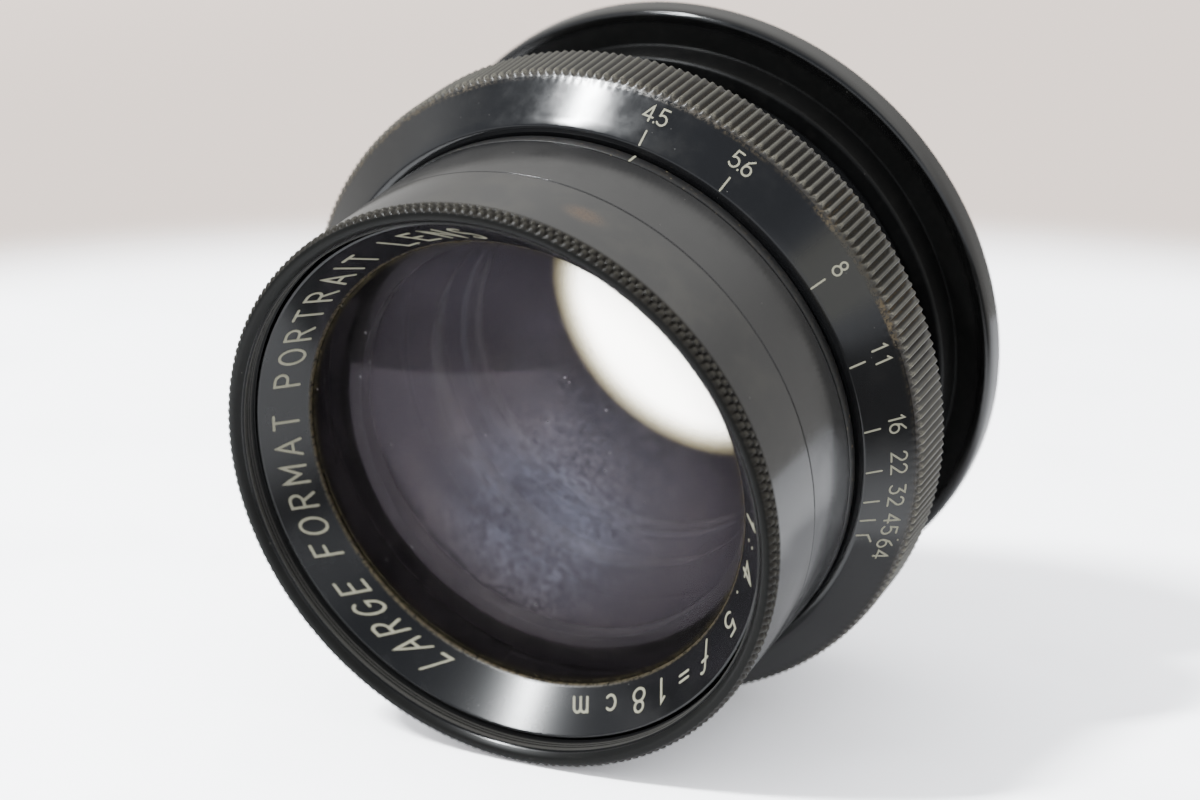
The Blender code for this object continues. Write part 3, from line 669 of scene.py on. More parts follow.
# Each sign is (width, strokes), for a capital height of 1.
SIGNS = {
    " ": (0.34, []),
    ".": (0.06, [dot(0.03, 0.02)]),
    ":": (0.06, [dot(0.03, 0.18), dot(0.03, 0.66)]),
    "=": (0.50, [[(0, 0.34), (0.5, 0.34)], [(0, 0.60), (0.5, 0.60)]]),
    "1": (0.18, [[(0, 0.80), (0.17, 0.98), (0.17, 0)]]),
    "2": (0.56, [oval(0.28, 0.72, 0.27, 0.27, 165, -38) + [(0.02, 0), (0.56, 0)]]),
    "3": (0.54, [[(0.02, 1), (0.50, 1), (0.24, 0.62)] + oval(0.24, 0.31, 0.29, 0.31, 78, -145)]),
    "4": (0.60, [[(0.42, 0), (0.42, 1), (0, 0.27), (0.60, 0.27)]]),
    "5": (0.54, [[(0.50, 1), (0.09, 1), (0.04, 0.55)] + oval(0.25, 0.31, 0.29, 0.31, 128, -145)]),
    "6": (0.56, [oval(0.28, 0.29, 0.27, 0.29), [(0.015, 0.36), (0.12, 0.74), (0.42, 1)]]),
    "8": (0.54, [oval(0.27, 0.77, 0.21, 0.22), oval(0.27, 0.28, 0.27, 0.27)]),
    "c": (0.42, [oval(0.24, 0.31, 0.23, 0.31, 45, 315)]),
    "f": (0.40, [[(0.02, -0.16), (0.18, 0.78)] + oval(0.34, 0.78, 0.16, 0.2, 165, 50, 6), [(0.0, 0.52), (0.36, 0.52)]]),
    "m": (
        0.62,
        [
            [(0.02, 0), (0.02, 0.62)],
            oval(0.17, 0.44, 0.15, 0.18, 180, 0, 8) + [(0.32, 0)],
            oval(0.47, 0.44, 0.15, 0.18, 180, 0, 8) + [(0.62, 0)],
        ],
    ),
    "A": (0.66, [[(0, 0), (0.33, 1), (0.66, 0)], [(0.13, 0.34), (0.53, 0.34)]]),
    "E": (0.50, [[(0.50, 1), (0, 1), (0, 0), (0.50, 0)], [(0, 0.52), (0.42, 0.52)]]),
    "F": (0.48, [[(0.48, 1), (0, 1), (0, 0)], [(0, 0.52), (0.40, 0.52)]]),
    "G": (0.64, [oval(0.34, 0.5, 0.33, 0.5, 48, 318) + [(0.64, 0.44), (0.40, 0.44)]]),
    "I": (0.02, [[(0.01, 0), (0.01, 1)]]),
    "L": (0.46, [[(0, 1), (0, 0), (0.46, 0)]]),
    "M": (0.70, [[(0, 0), (0, 1), (0.35, 0.28), (0.70, 1), (0.70, 0)]]),
    "N": (0.58, [[(0, 0), (0, 1), (0.58, 0), (0.58, 1)]]),
    "O": (0.68, [oval(0.34, 0.5, 0.34, 0.5, steps=24)]),
    "P": (0.52, [[(0, 0), (0, 1), (0.26, 1)] + oval(0.26, 0.75, 0.26, 0.25, 90, -90, 10)[1:] + [(0, 0.5)]]),
    "R": (
        0.56,
        [
            [(0, 0), (0, 1), (0.26, 1)] + oval(0.26, 0.75, 0.26, 0.25, 90, -90, 10)[1:] + [(0, 0.5)],
            [(0.26, 0.5), (0.56, 0)],
        ],
    ),
    "S": (0.54, [oval(0.27, 0.75, 0.24, 0.25, 40, 270, 12) + oval(0.27, 0.25, 0.27, 0.25, 90, -140, 12)[1:]]),
    "T": (0.58, [[(0, 1), (0.58, 1)], [(0.29, 1), (0.29, 0)]]),
}

LETTER_GAP = 0.30
ENGRAVING_LIFT = 0.012
ENGRAVING_DEPTH = 0.05
CAP_STEPS = 4


def sign_strokes(text, height, gap=LETTER_GAP):
    """The strokes of a line of text centred on (0, 0), in millimetres, and its width."""
    strokes, x = [], 0.0
    for sign in text:
        width, lines = SIGNS[sign]
        strokes += [[((x + px) * height, (py - 0.5) * height) for px, py in line] for line in lines]
        x += width + gap
    width = (x - gap) * height
    return [[(px - width / 2, py) for px, py in line] for line in strokes], width


def ribbon(stroke, width):
    """(outline points, faces) of a flat stroke with round ends. A stroke that ends where it starts is closed."""
    points = [Vector(p) for p in stroke]
    closed = (points[0] - points[-1]).length < 1e-6
    if closed:
        points.pop()
    count = len(points)
    left, right = [], []
    for i, point in enumerate(points):
        before = points[i - 1] if closed or i else None
        after = points[(i + 1) % count] if closed or i < count - 1 else None
        ways = [(b - a).normalized() for a, b in ((before, point), (point, after)) if a is not None and b is not None]
        sides = [Vector((-way.y, way.x)) for way in ways]
        side = sum(sides, Vector((0, 0))).normalized()
        reach = width / 2 / max(side.dot(sides[0]), 0.5)
        left.append(point + side * reach)
        right.append(point - side * reach)
    verts = left + right
    faces = [(i, i + 1, count + i + 1, count + i) for i in range(count - 1)]
    if closed:
        faces.append((count - 1, 0, count, 2 * count - 1))
        return verts, faces
    for end, way in ((0, points[0] - points[1]), (count - 1, points[-1] - points[-2])):
        way.normalize()
        side = Vector((-way.y, way.x)) * width / 2
        fan = []
        for step in range(1, CAP_STEPS):
            angle = math.pi * step / CAP_STEPS
            verts.append(points[end] + side * math.cos(angle) + way * (width / 2) * math.sin(angle))
            fan.append(len(verts) - 1)
        first, last = (count + end, end) if end == 0 else (end, count + end)
        faces.append((first, *fan, last))
    return verts, faces


def cone_place(r, h, lean):
    """A function that lays flat (u, v) points on a cone: u clockwise round the axis at a given turn, v up the
    slope, away from the axis. (r, h) is where v is 0 and lean is the slope's angle to the plane across the
    axis: positive when the cone's wide end is in front."""
    along_r, along_h = math.cos(math.radians(lean)), math.sin(math.radians(lean))

    def put(u, v, turn, lift):
        here = r + v * along_r
        out_r, out_h = -along_h * lift, along_r * lift
        return place(here + out_r, turn + math.degrees(u / here), h + v * along_h + out_h)

    return put


def engrave(name, strokes, width, put, body):
    """One piece for all these strokes. Each is (points, turn), laid on the surface by `put`."""
    verts, faces = [], []
    for number, (stroke, turn) in enumerate(strokes):
        points, loops = ribbon(stroke, width)
        start = len(verts)
        lift = ENGRAVING_LIFT + 0.002 * (number % 3)
        verts += [put(p.x, p.y, turn, lift) for p in points]
        faces += [tuple(start + i for i in loop) for loop in loops]
    mesh = bpy.data.meshes.new(name)
    mesh.from_pydata(verts, [], faces)
    obj = finish_piece(bpy.data.objects.new(name, mesh), body, ENGRAVING)
    obj.visible_glossy = False
    outward = put(0, 0, 0, 1.0) - put(0, 0, 0, 0.0)
    facing = np.mean([p.normal.dot(outward) for p in mesh.polygons[:1]])
    depth = obj.modifiers.new("depth", "SOLIDIFY")
    depth.thickness = ENGRAVING_DEPTH * MM
    depth.offset = -1 if facing > 0 else 1
    return obj


def subdivide(stroke, step):
    """The stroke with extra points, so that it can follow a curved surface."""
    result = [stroke[0]]
    for a, b in zip(stroke, stroke[1:]):
        pieces = max(1, math.ceil(math.dist(a, b) / step))
        result += [(a[0] + (b[0] - a[0]) * i / pieces, a[1] + (b[1] - a[1]) * i / pieces) for i in range(1, pieces + 1)]
    return result


# ---------------------------------------------------------------- the front of the lens


def rim_teeth(r, h, angle):
    """Two rows of beads round the rim, half a bead out of step. The front row runs over the rounded edge."""
    down = RIM_FRONT - h
    front_row = down < RIM_ROWS_MEET
    wave = np.where(front_row, np.abs(np.cos(RIM_TEETH * angle / 2)), np.abs(np.sin(RIM_TEETH * angle / 2)))
    front_end = np.clip((down - 0.50) / (RIM_ROWS_MEET - 0.50), 0, 1)
    middle, half = (RIM_ROWS_MEET + RIM_BAND) / 2, (RIM_BAND - RIM_ROWS_MEET) / 2
    off = np.where(front_row, front_end, np.clip(np.abs(down - middle) / half, 0, 1))
    tooth = np.clip(1.15 * wave * np.sqrt(1.02 - off**2.5), 0.10, 1)
    on_band = (r > RIM_ROOT_RADIUS) & (down < RIM_BAND)
    return np.where(on_band, RIM_ROOT_RADIUS + (r - RIM_ROOT_RADIUS) * tooth, r)


def thread_profile(radius, depth, pitch, bottom, top):
    """A profile up a threaded bore, with ring grooves in place of the helix."""
    points = [(radius, bottom)]
    count = int((top - bottom) / pitch)
    for i in range(count):
        base = bottom + i * pitch
        points += [(radius, base + pitch * 0.15), (radius + depth, base + pitch * 0.45), (radius + depth, base + pitch * 0.6)]
        points += [(radius, base + pitch * 0.9)]
    points.append((radius, top))
    return points


def front_cell():
    """The front sleeve, with its knurled rim, its filter thread and the seats for the front elements."""
    face = [
        (25.46, -0.62), (25.50, -0.54), (25.86, -0.14), (25.98, -0.04), (26.12, 0.0), (26.36, -0.01), (26.50, -0.04),
    ]
    band = [(26.62, -0.09), (26.75, -0.17), (26.88, -0.30), (26.96, -0.45)]
    downs = (0.58, 0.68, 0.77, 0.84, 0.89, 0.92, 0.99, 1.07, 1.16, 1.26, 1.36, 1.46, 1.54, 1.60)
    band += [(RIM_RADIUS, -down) for down in downs]
    behind = [(SLEEVE_RADIUS - 0.18, -1.68), (SLEEVE_RADIUS - 0.05, -1.73), (SLEEVE_RADIUS, -1.83)]
    front = [(r, RIM_FRONT + down) for r, down in face + band + behind]
    edge = 0.07
    seam = [(SLEEVE_RADIUS, SEAM + 0.06 + edge), (SLEEVE_RADIUS - edge, SEAM + 0.06), (CELL_RADIUS, SEAM + 0.06)]
    inside = [
        (CELL_RADIUS, CELL_REAR), (SECOND_SEAT_RADIUS, CELL_REAR), (SECOND_SEAT_RADIUS, SECOND_SEAT),
        (SEAT_RADIUS, SECOND_SEAT), (SEAT_RADIUS, FRONT_SEAT), (FILTER_RADIUS, FRONT_SEAT),
    ]
    thread = thread_profile(FILTER_RADIUS, 0.20, 0.36, NAME_TOP - 0.30, RIM_FRONT - 0.66)
    profile = front + seam + inside + thread
    lathe(
        "front_sleeve", profile, "lens_barrel", "black_lacquer", RIM_LACQUER, ("front_cell",),
        segments=RIM_TEETH * SAMPLES_PER_TOOTH, shape=rim_teeth, sharp=60,
    )


def name_ring():
    lip = NAME_BOTTOM + 0.8
    profile = soften(
        [
            (NAME_RADIUS, NAME_TOP, 0.08), (NAME_RADIUS, NAME_BOTTOM, 0.0), (CLEAR_RADIUS + 0.6, NAME_BOTTOM, 0.0),
            (CLEAR_RADIUS, lip, 0.03), (CLEAR_RADIUS + 0.12, lip + 0.22, 0.08), (NAME_RADIUS - 0.22, NAME_TOP, 0.10),
        ],
        0.05,
    )
    lathe("engraved_name_ring", profile, "lens_barrel", "engraved_ring_black", NAME_LACQUER, ("name_ring",), segments=512)


def name_ring_lettering():
    """Plain words and figures round the name ring, clockwise, with their tops away from the glass."""
    rise, run = NAME_TOP - (NAME_BOTTOM + 1.02), NAME_RADIUS - 0.22 - (CLEAR_RADIUS + 0.12)
    lean = math.degrees(math.atan2(rise, run))
    middle_r = CLEAR_RADIUS + 0.12 + run * 0.47
    middle_h = NAME_BOTTOM + 1.02 + rise * 0.47
    put = cone_place(middle_r, middle_h, lean)
    height = 2.35
    strokes = []
    for text, first, last in (("LARGE FORMAT PORTRAIT LENS", 206.5, 358.0), ("1:4.5", 91.0, 120.0), ("f=18cm", 129.5, 170.5)):
        length = math.radians(last - first) * middle_r
        _, tight = sign_strokes(text, height, 0.0)
        gap = (length - tight) / height / (len(text) - 1)
        lines, _ = sign_strokes(text, height, gap)
        strokes += [(subdivide(line, 0.5), (first + last) / 2) for line in lines]
    engrave("name_ring_lettering", strokes, 0.24, put, "lens_barrel")


# ---------------------------------------------------------------- the barrel and the aperture ring


def main_barrel():
    profile = soften(
        [
            (SLEEVE_RADIUS, SEAM, 0.07), (SLEEVE_RADIUS, SHOULDER, 0.12), (JOURNAL_RADIUS, SHOULDER),
            (JOURNAL_RADIUS, BOSS_FRONT + 0.3), (THREAD_RADIUS, BOSS_FRONT + 0.3), (THREAD_RADIUS, BARREL_REAR),
            (REAR_BORE, BARREL_REAR), (REAR_BORE, 12.6), (BARREL_BORE, 12.6), (BARREL_BORE, SEAM),
        ],
        0.05,
    )
    barrel = lathe("barrel_tube", profile, "lens_barrel", "black_lacquer", LACQUER, ("main_barrel",))
    # The slot that the iris screw travels along.
    screw_height = (node_size("iris_drive_ring")[1] + node_size("iris_drive_ring")[2]) / 2
    half_slot = 1.4
    cutter = bpy.data.meshes.new("slot")
    shape = bmesh.new()
    steps = 40
    start, end = SCREW_TURN + 4.0, SCREW_TURN - RING_TRAVEL - 4.0
    rings = []
    for i in range(steps + 1):
        turn = start + (end - start) * i / steps
        corners = [(BARREL_BORE - 1, -half_slot), (JOURNAL_RADIUS + 1, -half_slot), (JOURNAL_RADIUS + 1, half_slot), (BARREL_BORE - 1, half_slot)]
        rings.append([shape.verts.new(place(r, turn, screw_height + dh)) for r, dh in corners])
    for a, b in zip(rings, rings[1:]):
        for k in range(4):
            shape.faces.new((a[k], a[(k + 1) % 4], b[(k + 1) % 4], b[k]))
    shape.faces.new(rings[0])
    shape.faces.new(rings[-1][::-1])
    bmesh.ops.recalc_face_normals(shape, faces=shape.faces)
    shape.to_mesh(cutter)
    shape.free()
    apply_cut(barrel, bpy.data.objects.new("slot", cutter))


def index_collar():
    profile = soften(
        [
            (SLEEVE_RADIUS - 0.05, COLLAR_FRONT), (SLEEVE_RADIUS - 0.05, COLLAR_REAR),
            (JOURNAL_RADIUS + 0.25, COLLAR_REAR), (JOURNAL_RADIUS + 0.25, COLLAR_FRONT),
        ],
        0.10,
    )
    lathe("index_ring", profile, "lens_barrel", "black_lacquer", COLLAR_LACQUER, ("index_collar",))
    put = cone_place(SLEEVE_RADIUS - 0.05, (COLLAR_FRONT + COLLAR_REAR) / 2, -90.0)
    half = (COLLAR_FRONT - COLLAR_REAR) / 2 - 0.06
    engrave("index_line", [([(0, -half), (0, half)], INDEX_TURN)], 0.22, put, "lens_barrel")


def ring_teeth(r, h, angle):
    """Straight rounded teeth round the band, rising from its front edge and falling at its rear."""
    wave = np.abs(np.cos(RING_TEETH * angle / 2))
    tooth = np.clip(1.04 * wave**1.6, 0, 1)
    rise = np.clip((BAND_FRONT + 0.42 - h) / 0.42, 0, 1) ** 0.6
    fall = np.clip((h - RING_REAR + 0.02) / 0.45, 0, 1) ** 0.6
    on_band = (r > RING_RADIUS - 0.02) & (h < BAND_FRONT + 0.5)
    depth = RING_TEETH_DEPTH * (1 - tooth * rise * fall)
    return np.where(on_band, r - depth, r)


def aperture_ring():
    """The ring with the scale: an engraved cone that meets a band of straight teeth."""
    root = RING_RADIUS - RING_TEETH_DEPTH
    cone_end = (root, RING_FRONT - (root - RING_NOSE_RADIUS))
    front = soften([(RING_NOSE_RADIUS, RING_FRONT), cone_end, (JOURNAL_RADIUS + 0.3, RING_REAR), (JOURNAL_RADIUS + 0.3, RING_FRONT)], 0.14)
    nose = [p for p in front if p[1] > RING_FRONT - 1 and p[0] > 27.2]
    cone = [(RING_NOSE_RADIUS + t * (root - RING_NOSE_RADIUS), RING_FRONT - t * (root - RING_NOSE_RADIUS)) for t in (0.2, 0.5, 0.8, 0.97)]
    start = cone_end[1] - 0.01
    band_heights = [start, start - 0.06, start - 0.14, start - 0.24, start - 0.36, start - 0.5, 19.5, 18.0]
    band_heights += [RING_REAR + d for d in (0.5, 0.42, 0.32, 0.22, 0.12, 0.04)]
    band = [(RING_RADIUS, h) for h in band_heights]
    back = [(RING_RADIUS - 0.55, RING_REAR), (JOURNAL_RADIUS + 0.45, RING_REAR), (JOURNAL_RADIUS + 0.3, RING_REAR + 0.15)]
    bore = [(JOURNAL_RADIUS + 0.3, RING_FRONT - 0.15), (JOURNAL_RADIUS + 0.42, RING_FRONT)]
    ring = lathe(
        "scale_ring", nose + cone + band + back + bore, "aperture_control", "aperture_ring_lacquer", RING_LACQUER,
        ("aperture_ring",), segments=RING_TEETH * 8, shape=ring_teeth, sharp=60,
    )
    screw_height = (node_size("iris_drive_ring")[1] + node_size("iris_drive_ring")[2]) / 2
    apply_cut(ring, radial_rod("recess", 2.2, 29.8, RING_RADIUS + 1, SCREW_TURN, screw_height))
    apply_cut(ring, radial_rod("hole", 1.4, 25.0, RING_RADIUS + 1, SCREW_TURN, screw_height))


# Each mark is (figure, degrees from the index when closed down to it, degrees that its figure stands past it,
# the gap between its signs as a share of their height).
SCALE = (
    ("4.5", 0.0, 0.3, 0.13), ("5.6", 17.0, 0.2, 0.13), ("8", 41.0, 0.0, 0.27), ("11", 57.2, -0.2, 0.62),
    ("16", 70.0, 0.0, 0.27), ("22", 78.2, -1.0, 0.27), ("32", 84.4, -0.8, 0.27), ("45", 88.4, 1.1, 0.27),
)
LAST_MARK = 91.7


def aperture_scale():
    put = cone_place(RING_NOSE_RADIUS, RING_FRONT, -45.0)
    strokes = []
    near, far = 0.12, 1.55
    figure_middle, figure_height = 3.2, 1.5
    for figure, mark, shift, gap in SCALE:
        turn = INDEX_TURN + mark
        strokes.append(([(0, near), (0, far)], turn))
        lines, _ = sign_strokes(figure, figure_height, gap)
        for line in lines:
            strokes.append(([(x, y + figure_middle) for x, y in subdivide(line, 0.4)], turn + shift))
    # The last mark is bent over, to leave room for its figure.
    last = INDEX_TURN + LAST_MARK
    strokes.append(([(0, near), (0, far * 0.8), (0.75, far + 0.15)], last))
    lines, _ = sign_strokes("64", figure_height, 0.27)
    strokes += [([(x, y + figure_middle) for x, y in subdivide(line, 0.4)], last + 3.2) for line in lines]
    strokes.append(([(0, 4.35), (0.02, 4.35)], last + 1.2))
    engrave("aperture_figures", strokes, 0.17, put, "aperture_control")


def rear_collar():
    profile = soften(
        [(NUT_RADIUS, NUT_FRONT), (NUT_RADIUS, NUT_REAR), (JOURNAL_RADIUS + 0.25, NUT_REAR), (JOURNAL_RADIUS + 0.25, NUT_FRONT)],
        0.15,
    )
    lathe("ring_nut", profile, "lens_barrel", "black_lacquer", DULL_LACQUER, ("rear_collar",))


def mounting_flange():
    profile = soften(
        [
            (BOSS_RADIUS, BOSS_FRONT, 0.42), (BOSS_RADIUS, FLANGE_FRONT, 0.18), (FLANGE_RADIUS - 1.32, FLANGE_FRONT, 0.06),
            (FLANGE_RADIUS - 1.26, FLANGE_FRONT + 0.03, 0.05), (FLANGE_RADIUS, FLANGE_FRONT + 0.03, 1.25),
            (FLANGE_RADIUS, 0.0, 0.40),
            (25.6, 0.0), (25.6, BOSS_FRONT, 0.12),
        ],
        0.1, 8,
    )
    lathe("flange", profile, "lens_barrel", "gloss_black_lacquer", FLANGE_LACQUER, ("mounting_flange",), segments=512)


# ---------------------------------------------------------------- the iris and the rear of the lens


def plain_ring(node, inner, material, edge=0.08, slot="matt_black_paint"):
    outer, top, bottom = node_size(node)
    profile = soften([(outer, top), (outer, bottom), (inner, bottom), (inner, top)], edge)
    return lathe(node + "_turned", profile, "lens_barrel", slot, material, (node,), segments=192)


BLADES = 16
BLADE_THICKNESS = 0.10
PIVOT_RADIUS = 23.4
BLADE_INNER = 17.7
BLADE_OUTER = 22.6
BLADE_SPAN = 130.0
BLADE_HEEL = 2.4


def blade_outline():
    """A crescent with an eye round its pivot. Points are (x, y) about the optical axis, pivot on +X."""
    middle, half = (BLADE_INNER + BLADE_OUTER) / 2, (BLADE_OUTER - BLADE_INNER) / 2
    end = oval(0, 0, middle, middle, BLADE_SPAN, BLADE_SPAN, 1)[0]
    eye = oval(PIVOT_RADIUS, 0, 0.85, 0.85, -90, 90, 12)
    outer = oval(0, 0, BLADE_OUTER, BLADE_OUTER, BLADE_HEEL, BLADE_SPAN, 72)
    tip = oval(*end, half, half, BLADE_SPAN, BLADE_SPAN + 180, 16)[1:-1]
    inner = oval(0, 0, BLADE_INNER, BLADE_INNER, BLADE_SPAN, -BLADE_HEEL, 72)
    heel = oval(0, 0, BLADE_OUTER, BLADE_OUTER, -BLADE_HEEL, -BLADE_HEEL, 1)[:1]
    return eye + outer + tip + inner + heel


def iris_blades():
    outline = blade_outline()
    pin = oval(PIVOT_RADIUS, 0, 0.42, 0.42, 0, 360, 20)[:-1]
    for number in range(BLADES):
        node = f"iris_blade_{number + 1:02d}"
        low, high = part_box(node)
        top = (REAR_Y - low.y) / MM
        bottom = (REAR_Y - high.y) / MM
        shape = bmesh.new()
        for ring, upper, lower in ((outline, top, top - BLADE_THICKNESS), (pin, top - BLADE_THICKNESS / 2, bottom)):
            # The blade's +X is the turn at which its pivot stands, anticlockwise from +X seen from the front.
            start = math.radians(360.0 * number / BLADES)
            spun = [(x * math.cos(start) - y * math.sin(start), x * math.sin(start) + y * math.cos(start)) for x, y in ring]
            levels = [[shape.verts.new((x * MM, REAR_Y - h * MM, y * MM)) for x, y in spun] for h in (upper, lower)]
            shape.faces.new(levels[0])
            shape.faces.new(levels[1][::-1])
            for i in range(len(spun)):
                k = (i + 1) % len(spun)
                shape.faces.new((levels[0][i], levels[1][i], levels[1][k], levels[0][k]))
        bmesh.ops.recalc_face_normals(shape, faces=shape.faces)
        mesh = bpy.data.meshes.new(f"blade_leaf_{number + 1:02d}")
        shape.to_mesh(mesh)
        shape.free()
        obj = bpy.data.objects.new(mesh.name, mesh)
        finish_piece(obj, f"blade_{number + 1:02d}", BLUED_STEEL, (node,))


def rear_cell():
    """The rear cell, with fine grip grooves on its rim."""
    grooves = []
    count, depth = 5, 0.12
    length = -0.3 - REAR_END - 0.8
    for i in range(count):
        h = -0.7 - length * i / count
        grooves += [(REAR_RIM_RADIUS, h, 0.02), (REAR_RIM_RADIUS - depth, h - 0.12, 0.02), (REAR_RIM_RADIUS, h - 0.24, 0.02)]
    profile = soften(
        [(23.3, REAR_CELL_FRONT), (23.3, -0.3), (REAR_RIM_RADIUS, -0.3, 0.2)]
        + grooves
        + [
            (REAR_RIM_RADIUS, REAR_END, 0.25), (20.9, REAR_END, 0.15), (20.6, REAR_END + 0.5), (20.6, 0.2), (19.3, 0.2),
            (19.3, REAR_CELL_FRONT - 0.45), (18.2, REAR_CELL_FRONT - 0.45), (18.2, REAR_CELL_FRONT),
        ],
        0.05,
    )
    lathe("rear_cell_turned", profile, "lens_barrel", "black_lacquer", LACQUER, ("rear_cell",))


def sphere_drop(curvature, r):
    return math.copysign(abs(curvature) - math.sqrt(curvature**2 - r**2), curvature)


def element(node, front_curvature, rear_curvature, material, rear_land=None):
    """A lens element. Its faces' vertices are worked out from the box of its CAD node."""
    radius, front, rear = node_size(node)
    front_vertex = front if front_curvature > 0 else front + sphere_drop(front_curvature, radius)
    edge = rear_land or radius
    rear_vertex = rear if rear_curvature > 0 else rear - sphere_drop(rear_curvature, edge)
    steps = 24
    front_face = [(radius * i / steps, front_vertex - sphere_drop(front_curvature, radius * i / steps)) for i in range(steps + 1)]
    rear_face = [(edge * i / steps, rear_vertex + sphere_drop(rear_curvature, edge * i / steps)) for i in range(steps + 1)]
    if rear_land:
        rear_face.append((radius, rear_face[-1][1]))
    profile = front_face + rear_face[::-1]
    lathe(node + "_glass", profile, "lens_barrel", "coated_glass", material, (node,), weighted=False, segments=192, sharp=40)


def keep_cad_node(node, material):
    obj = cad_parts[node]
    for slot in obj.material_slots:
        slot.material = material
    if not obj.material_slots:
        obj.data.materials.append(material)


# ---------------------------------------------------------------- the setting

CAMERA_LENS = 89.0
CAMERA_AZIMUTH = 29.6
CAMERA_ELEVATION = 25.0
CAMERA_ROLL = 5.9
CAMERA_DISTANCE = 290.0
CAMERA_AIM = (-7.4, 10.8, -7.3)


def camera():
    azimuth, elevation = math.radians(CAMERA_AZIMUTH), math.radians(CAMERA_ELEVATION)
    back = Vector(
        (math.sin(azimuth) * math.cos(elevation), -math.cos(azimuth) * math.cos(elevation), math.sin(elevation))
    )
    data = bpy.data.cameras.new("camera")
    data.lens = CAMERA_LENS
    data.clip_start, data.clip_end = 0.01, 20.0
    obj = bpy.data.objects.new("camera", data)
    obj.rotation_mode = "QUATERNION"
    obj.location = (Vector(CAMERA_AIM) + back * CAMERA_DISTANCE) * MM
    obj.rotation_quaternion = (-back).to_track_quat("-Z", "Y") @ Quaternion((0, 0, 1), -math.radians(CAMERA_ROLL))
    bpy.context.scene.collection.objects.link(obj)
    bpy.context.scene.camera = obj
    focus = bpy.data.objects.new("focus_point", None)
    focus.location = place(12.0, 60.0, 32.0)
    bpy.context.scene.collection.objects.link(focus)
    data.dof.use_dof = True
    data.dof.focus_object = focus
    data.dof.aperture_fstop = 22.0


# The lens rests on its front rim and on the front of its knurled band.
RIM_CONTACT = Vector((0.0, REAR_Y - RIM_FRONT * MM, -RIM_RADIUS * MM))
BAND_CONTACT = Vector((0.0, REAR_Y - BAND_FRONT * MM, -RING_RADIUS * MM))
FLOOR_REACH = 240.0
FLOOR_FADE = 60.0
TABLE_EDGE = 138.6
TABLE_RIGHT_EDGE = 62.0
CAMERA_GAIN = 5.6
GLOSSY_GAIN = 1.7
DARK_DOORWAY = (-0.41, -0.90, 0.10)


def floor_paint():
    """A pale table with faint smudges. It fades into the backdrop at its far edge, it is clear from below, and a mirror
    sees it end a little in front of the lens, where the dark room starts. Where the camera sees it through the lens
    glass it glows: a painted glare."""
    paint = Paint("pale_table")
    smudge = paint.between(paint.noise(0.03, 5.0, 0.6), 0.45, 0.75, 0.0, 1.0)
    colour = paint.mix(smudge, (0.80, 0.80, 0.805), (0.74, 0.74, 0.745))
    flecks = paint.most(paint.specks(14.0, 0.35, 0.10), paint.specks(30.0, 0.8, 0.08))
    colour = paint.mix(paint.times(flecks, 0.35), colour, (0.25, 0.25, 0.26))
    # The camera sees the table brighter than the lens does, as in an exposure made for the dark lens.
    rays = paint.node("LightPath")
    gain = paint.math("ADD", 1.0, paint.times(rays.outputs["Is Camera Ray"], CAMERA_GAIN - 1.0))
    gain = paint.math("ADD", gain, paint.times(rays.outputs["Is Glossy Ray"], GLOSSY_GAIN - 1.0))
    surface = paint.node("BsdfDiffuse", Color=paint.vector("SCALE", colour, Scale=gain)).outputs[0]
    clear = paint.node("BsdfTransparent").outputs[0]
    reach = paint.vector("LENGTH", paint.node("CombineXYZ", X=paint.x, Y=paint.y, Z=0.0).outputs[0])
    fade = paint.between(reach, FLOOR_REACH - FLOOR_FADE, FLOOR_REACH)
    fade = paint.times(fade, paint.math("SUBTRACT", 1.0, rays.outputs["Is Glossy Ray"]))
    left = paint.math("ADD", paint.times(paint.x, -0.74), paint.times(paint.y, -0.67))
    right = paint.math("ADD", paint.times(paint.x, 0.80), paint.times(paint.y, -0.60))
    beyond = paint.most(
        paint.math("GREATER_THAN", left, TABLE_EDGE), paint.between(right, TABLE_RIGHT_EDGE - 30, TABLE_RIGHT_EDGE + 30)
    )
    beyond = paint.times(beyond, rays.outputs["Is Glossy Ray"])
    behind = paint.node("NewGeometry").outputs["Backfacing"]
    # Where the camera looks at the table through the lens glass, the table glows: a painted glare that no lamp casts.
    through = paint.math("GREATER_THAN", rays.outputs["Transparent Depth"], 3.5)
    through = paint.times(through, rays.outputs["Is Camera Ray"])
    painted_glare = paint.node("Emission", Color=(1.0, 0.985, 0.95), Strength=22.0).outputs[0]
    lit = paint.blend(through, surface, painted_glare)
    return paint.done(paint.blend(paint.most(fade, beyond, behind), lit, clear))


def floor():
    slope = RIM_CONTACT - BAND_CONTACT
    tilt = math.atan2(slope.z, -slope.y)
    mesh = bpy.data.meshes.new("table_top")
    shape = bmesh.new()
    bmesh.ops.create_circle(shape, cap_ends=True, segments=96, radius=FLOOR_REACH * MM)
    shape.to_mesh(mesh)
    shape.free()
    table = bpy.data.objects.new("table_top", mesh)
    table.rotation_euler = (-tilt, 0, 0)
    drop = BAND_CONTACT.z + math.tan(tilt) * BAND_CONTACT.y
    table.location = (0, 0, drop - 0.00002)
    mesh.materials.append(floor_paint())
    bpy.context.scene.collection.objects.link(table)


def area_light(name, toward, distance, size, power, colour):
    """A soft light in this direction from the lens, facing it."""
    data = bpy.data.lights.new(name, "AREA")
    data.shape = "RECTANGLE"
    data.size, data.size_y = size
    data.energy = power
    data.color = colour
    obj = bpy.data.objects.new(name, data)
    way = Vector(toward).normalized()
    obj.location = way * distance
    obj.rotation_mode = "QUATERNION"
    obj.rotation_quaternion = (-way).to_track_quat("-Z", "Y")
    bpy.context.scene.collection.objects.link(obj)


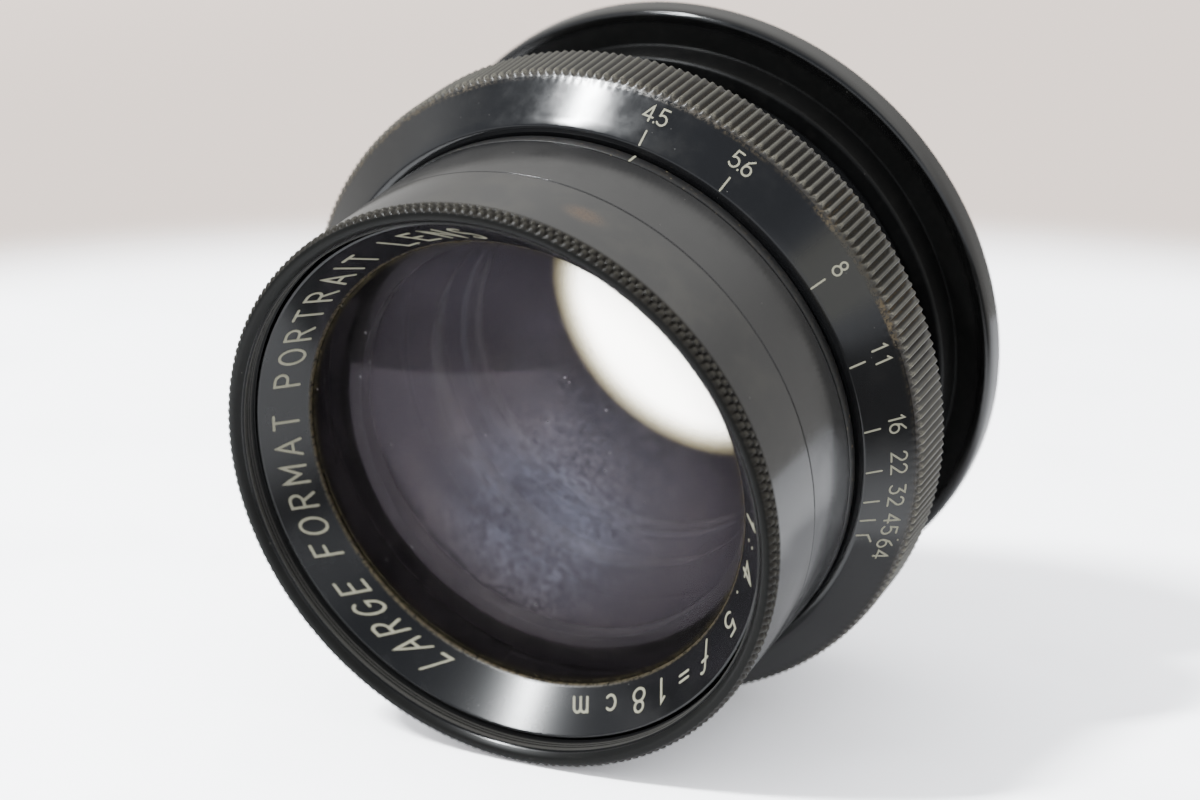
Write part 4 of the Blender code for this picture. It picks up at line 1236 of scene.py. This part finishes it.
def room():
    """The backdrop seen by the camera, and the room that lights the lens: a pale wall low down behind it, a
    dim ceiling, and a dark side towards the camera."""
    world = bpy.data.worlds.new("room")
    bpy.context.scene.world = world
    world.use_nodes = True
    tree = world.node_tree
    tree.nodes.clear()
    paint = Paint.__new__(Paint)
    paint.tree = tree
    way = paint.node("TexCoord").outputs["Generated"]
    parts = paint.node("SeparateXYZ", Vector=way)
    x, y, z = parts.outputs
    rays = paint.node("LightPath")
    behind = paint.mix(paint.between(z, 0.20, 0.55), (0.72, 0.71, 0.69), (1.10, 1.09, 1.06))
    behind = paint.mix(paint.between(z, 0.75, 0.95), behind, (0.6, 0.6, 0.6))
    ahead = paint.mix(paint.between(z, 0.35, 0.62), (0.80, 0.83, 0.88), (0.24, 0.26, 0.30))
    ahead = paint.mix(paint.between(z, 0.10, -0.05), ahead, (0.12, 0.12, 0.12))
    seen = paint.mix(paint.between(y, 0.10, -0.25), behind, ahead)
    doorway = paint.vector("DOT_PRODUCT", way, Vector=DARK_DOORWAY)
    seen = paint.mix(paint.between(doorway, 0.66, 0.84), seen, (0.035, 0.035, 0.036))
    ambient = (0.70, 0.71, 0.74)
    wall = paint.mix(paint.between(z, -0.32, -0.12), (1.80, 1.54, 1.38), (3.2, 2.75, 2.50))
    colour = paint.mix(rays.outputs["Is Glossy Ray"], ambient, seen)
    colour = paint.mix(rays.outputs["Is Camera Ray"], colour, wall)
    background = paint.node("Background", Color=colour, Strength=1.0)
    paint.node("OutputWorld", Surface=background.outputs[0])


# ---------------------------------------------------------------- the whole scene

front_cell()
name_ring()
name_ring_lettering()
main_barrel()
index_collar()
aperture_ring()
aperture_scale()
rear_collar()
mounting_flange()
rear_cell()
plain_ring("front_spacer", 19.6, MATT_BLACK)
plain_ring("second_retaining_ring", 17.9, DULL_LACQUER)
plain_ring("iris_retaining_ring", 19.4, MATT_BLACK)
plain_ring("rear_retaining_ring", 17.4, LACQUER)
iris_blades()
element("front_element", 60.0, 500.0, FRONT_GLASS)
element("second_element", -95.0, -52.0, INNER_GLASS, 18.2)
element("third_element", -110.0, -50.0, INNER_GLASS)
element("fourth_element", 50.0, 70.0, REAR_GLASS)
keep_cad_node("iris_base_plate", MATT_BLACK)
keep_cad_node("iris_drive_ring", BLACKENED_BRASS)
keep_cad_node("drive_screw", BRASS)
floor()
area_light("ceiling_lamp", (-0.358, -0.368, 0.858), 0.70, (0.055, 0.12), 5.6, (0.95, 0.98, 1.0))
room()
camera()
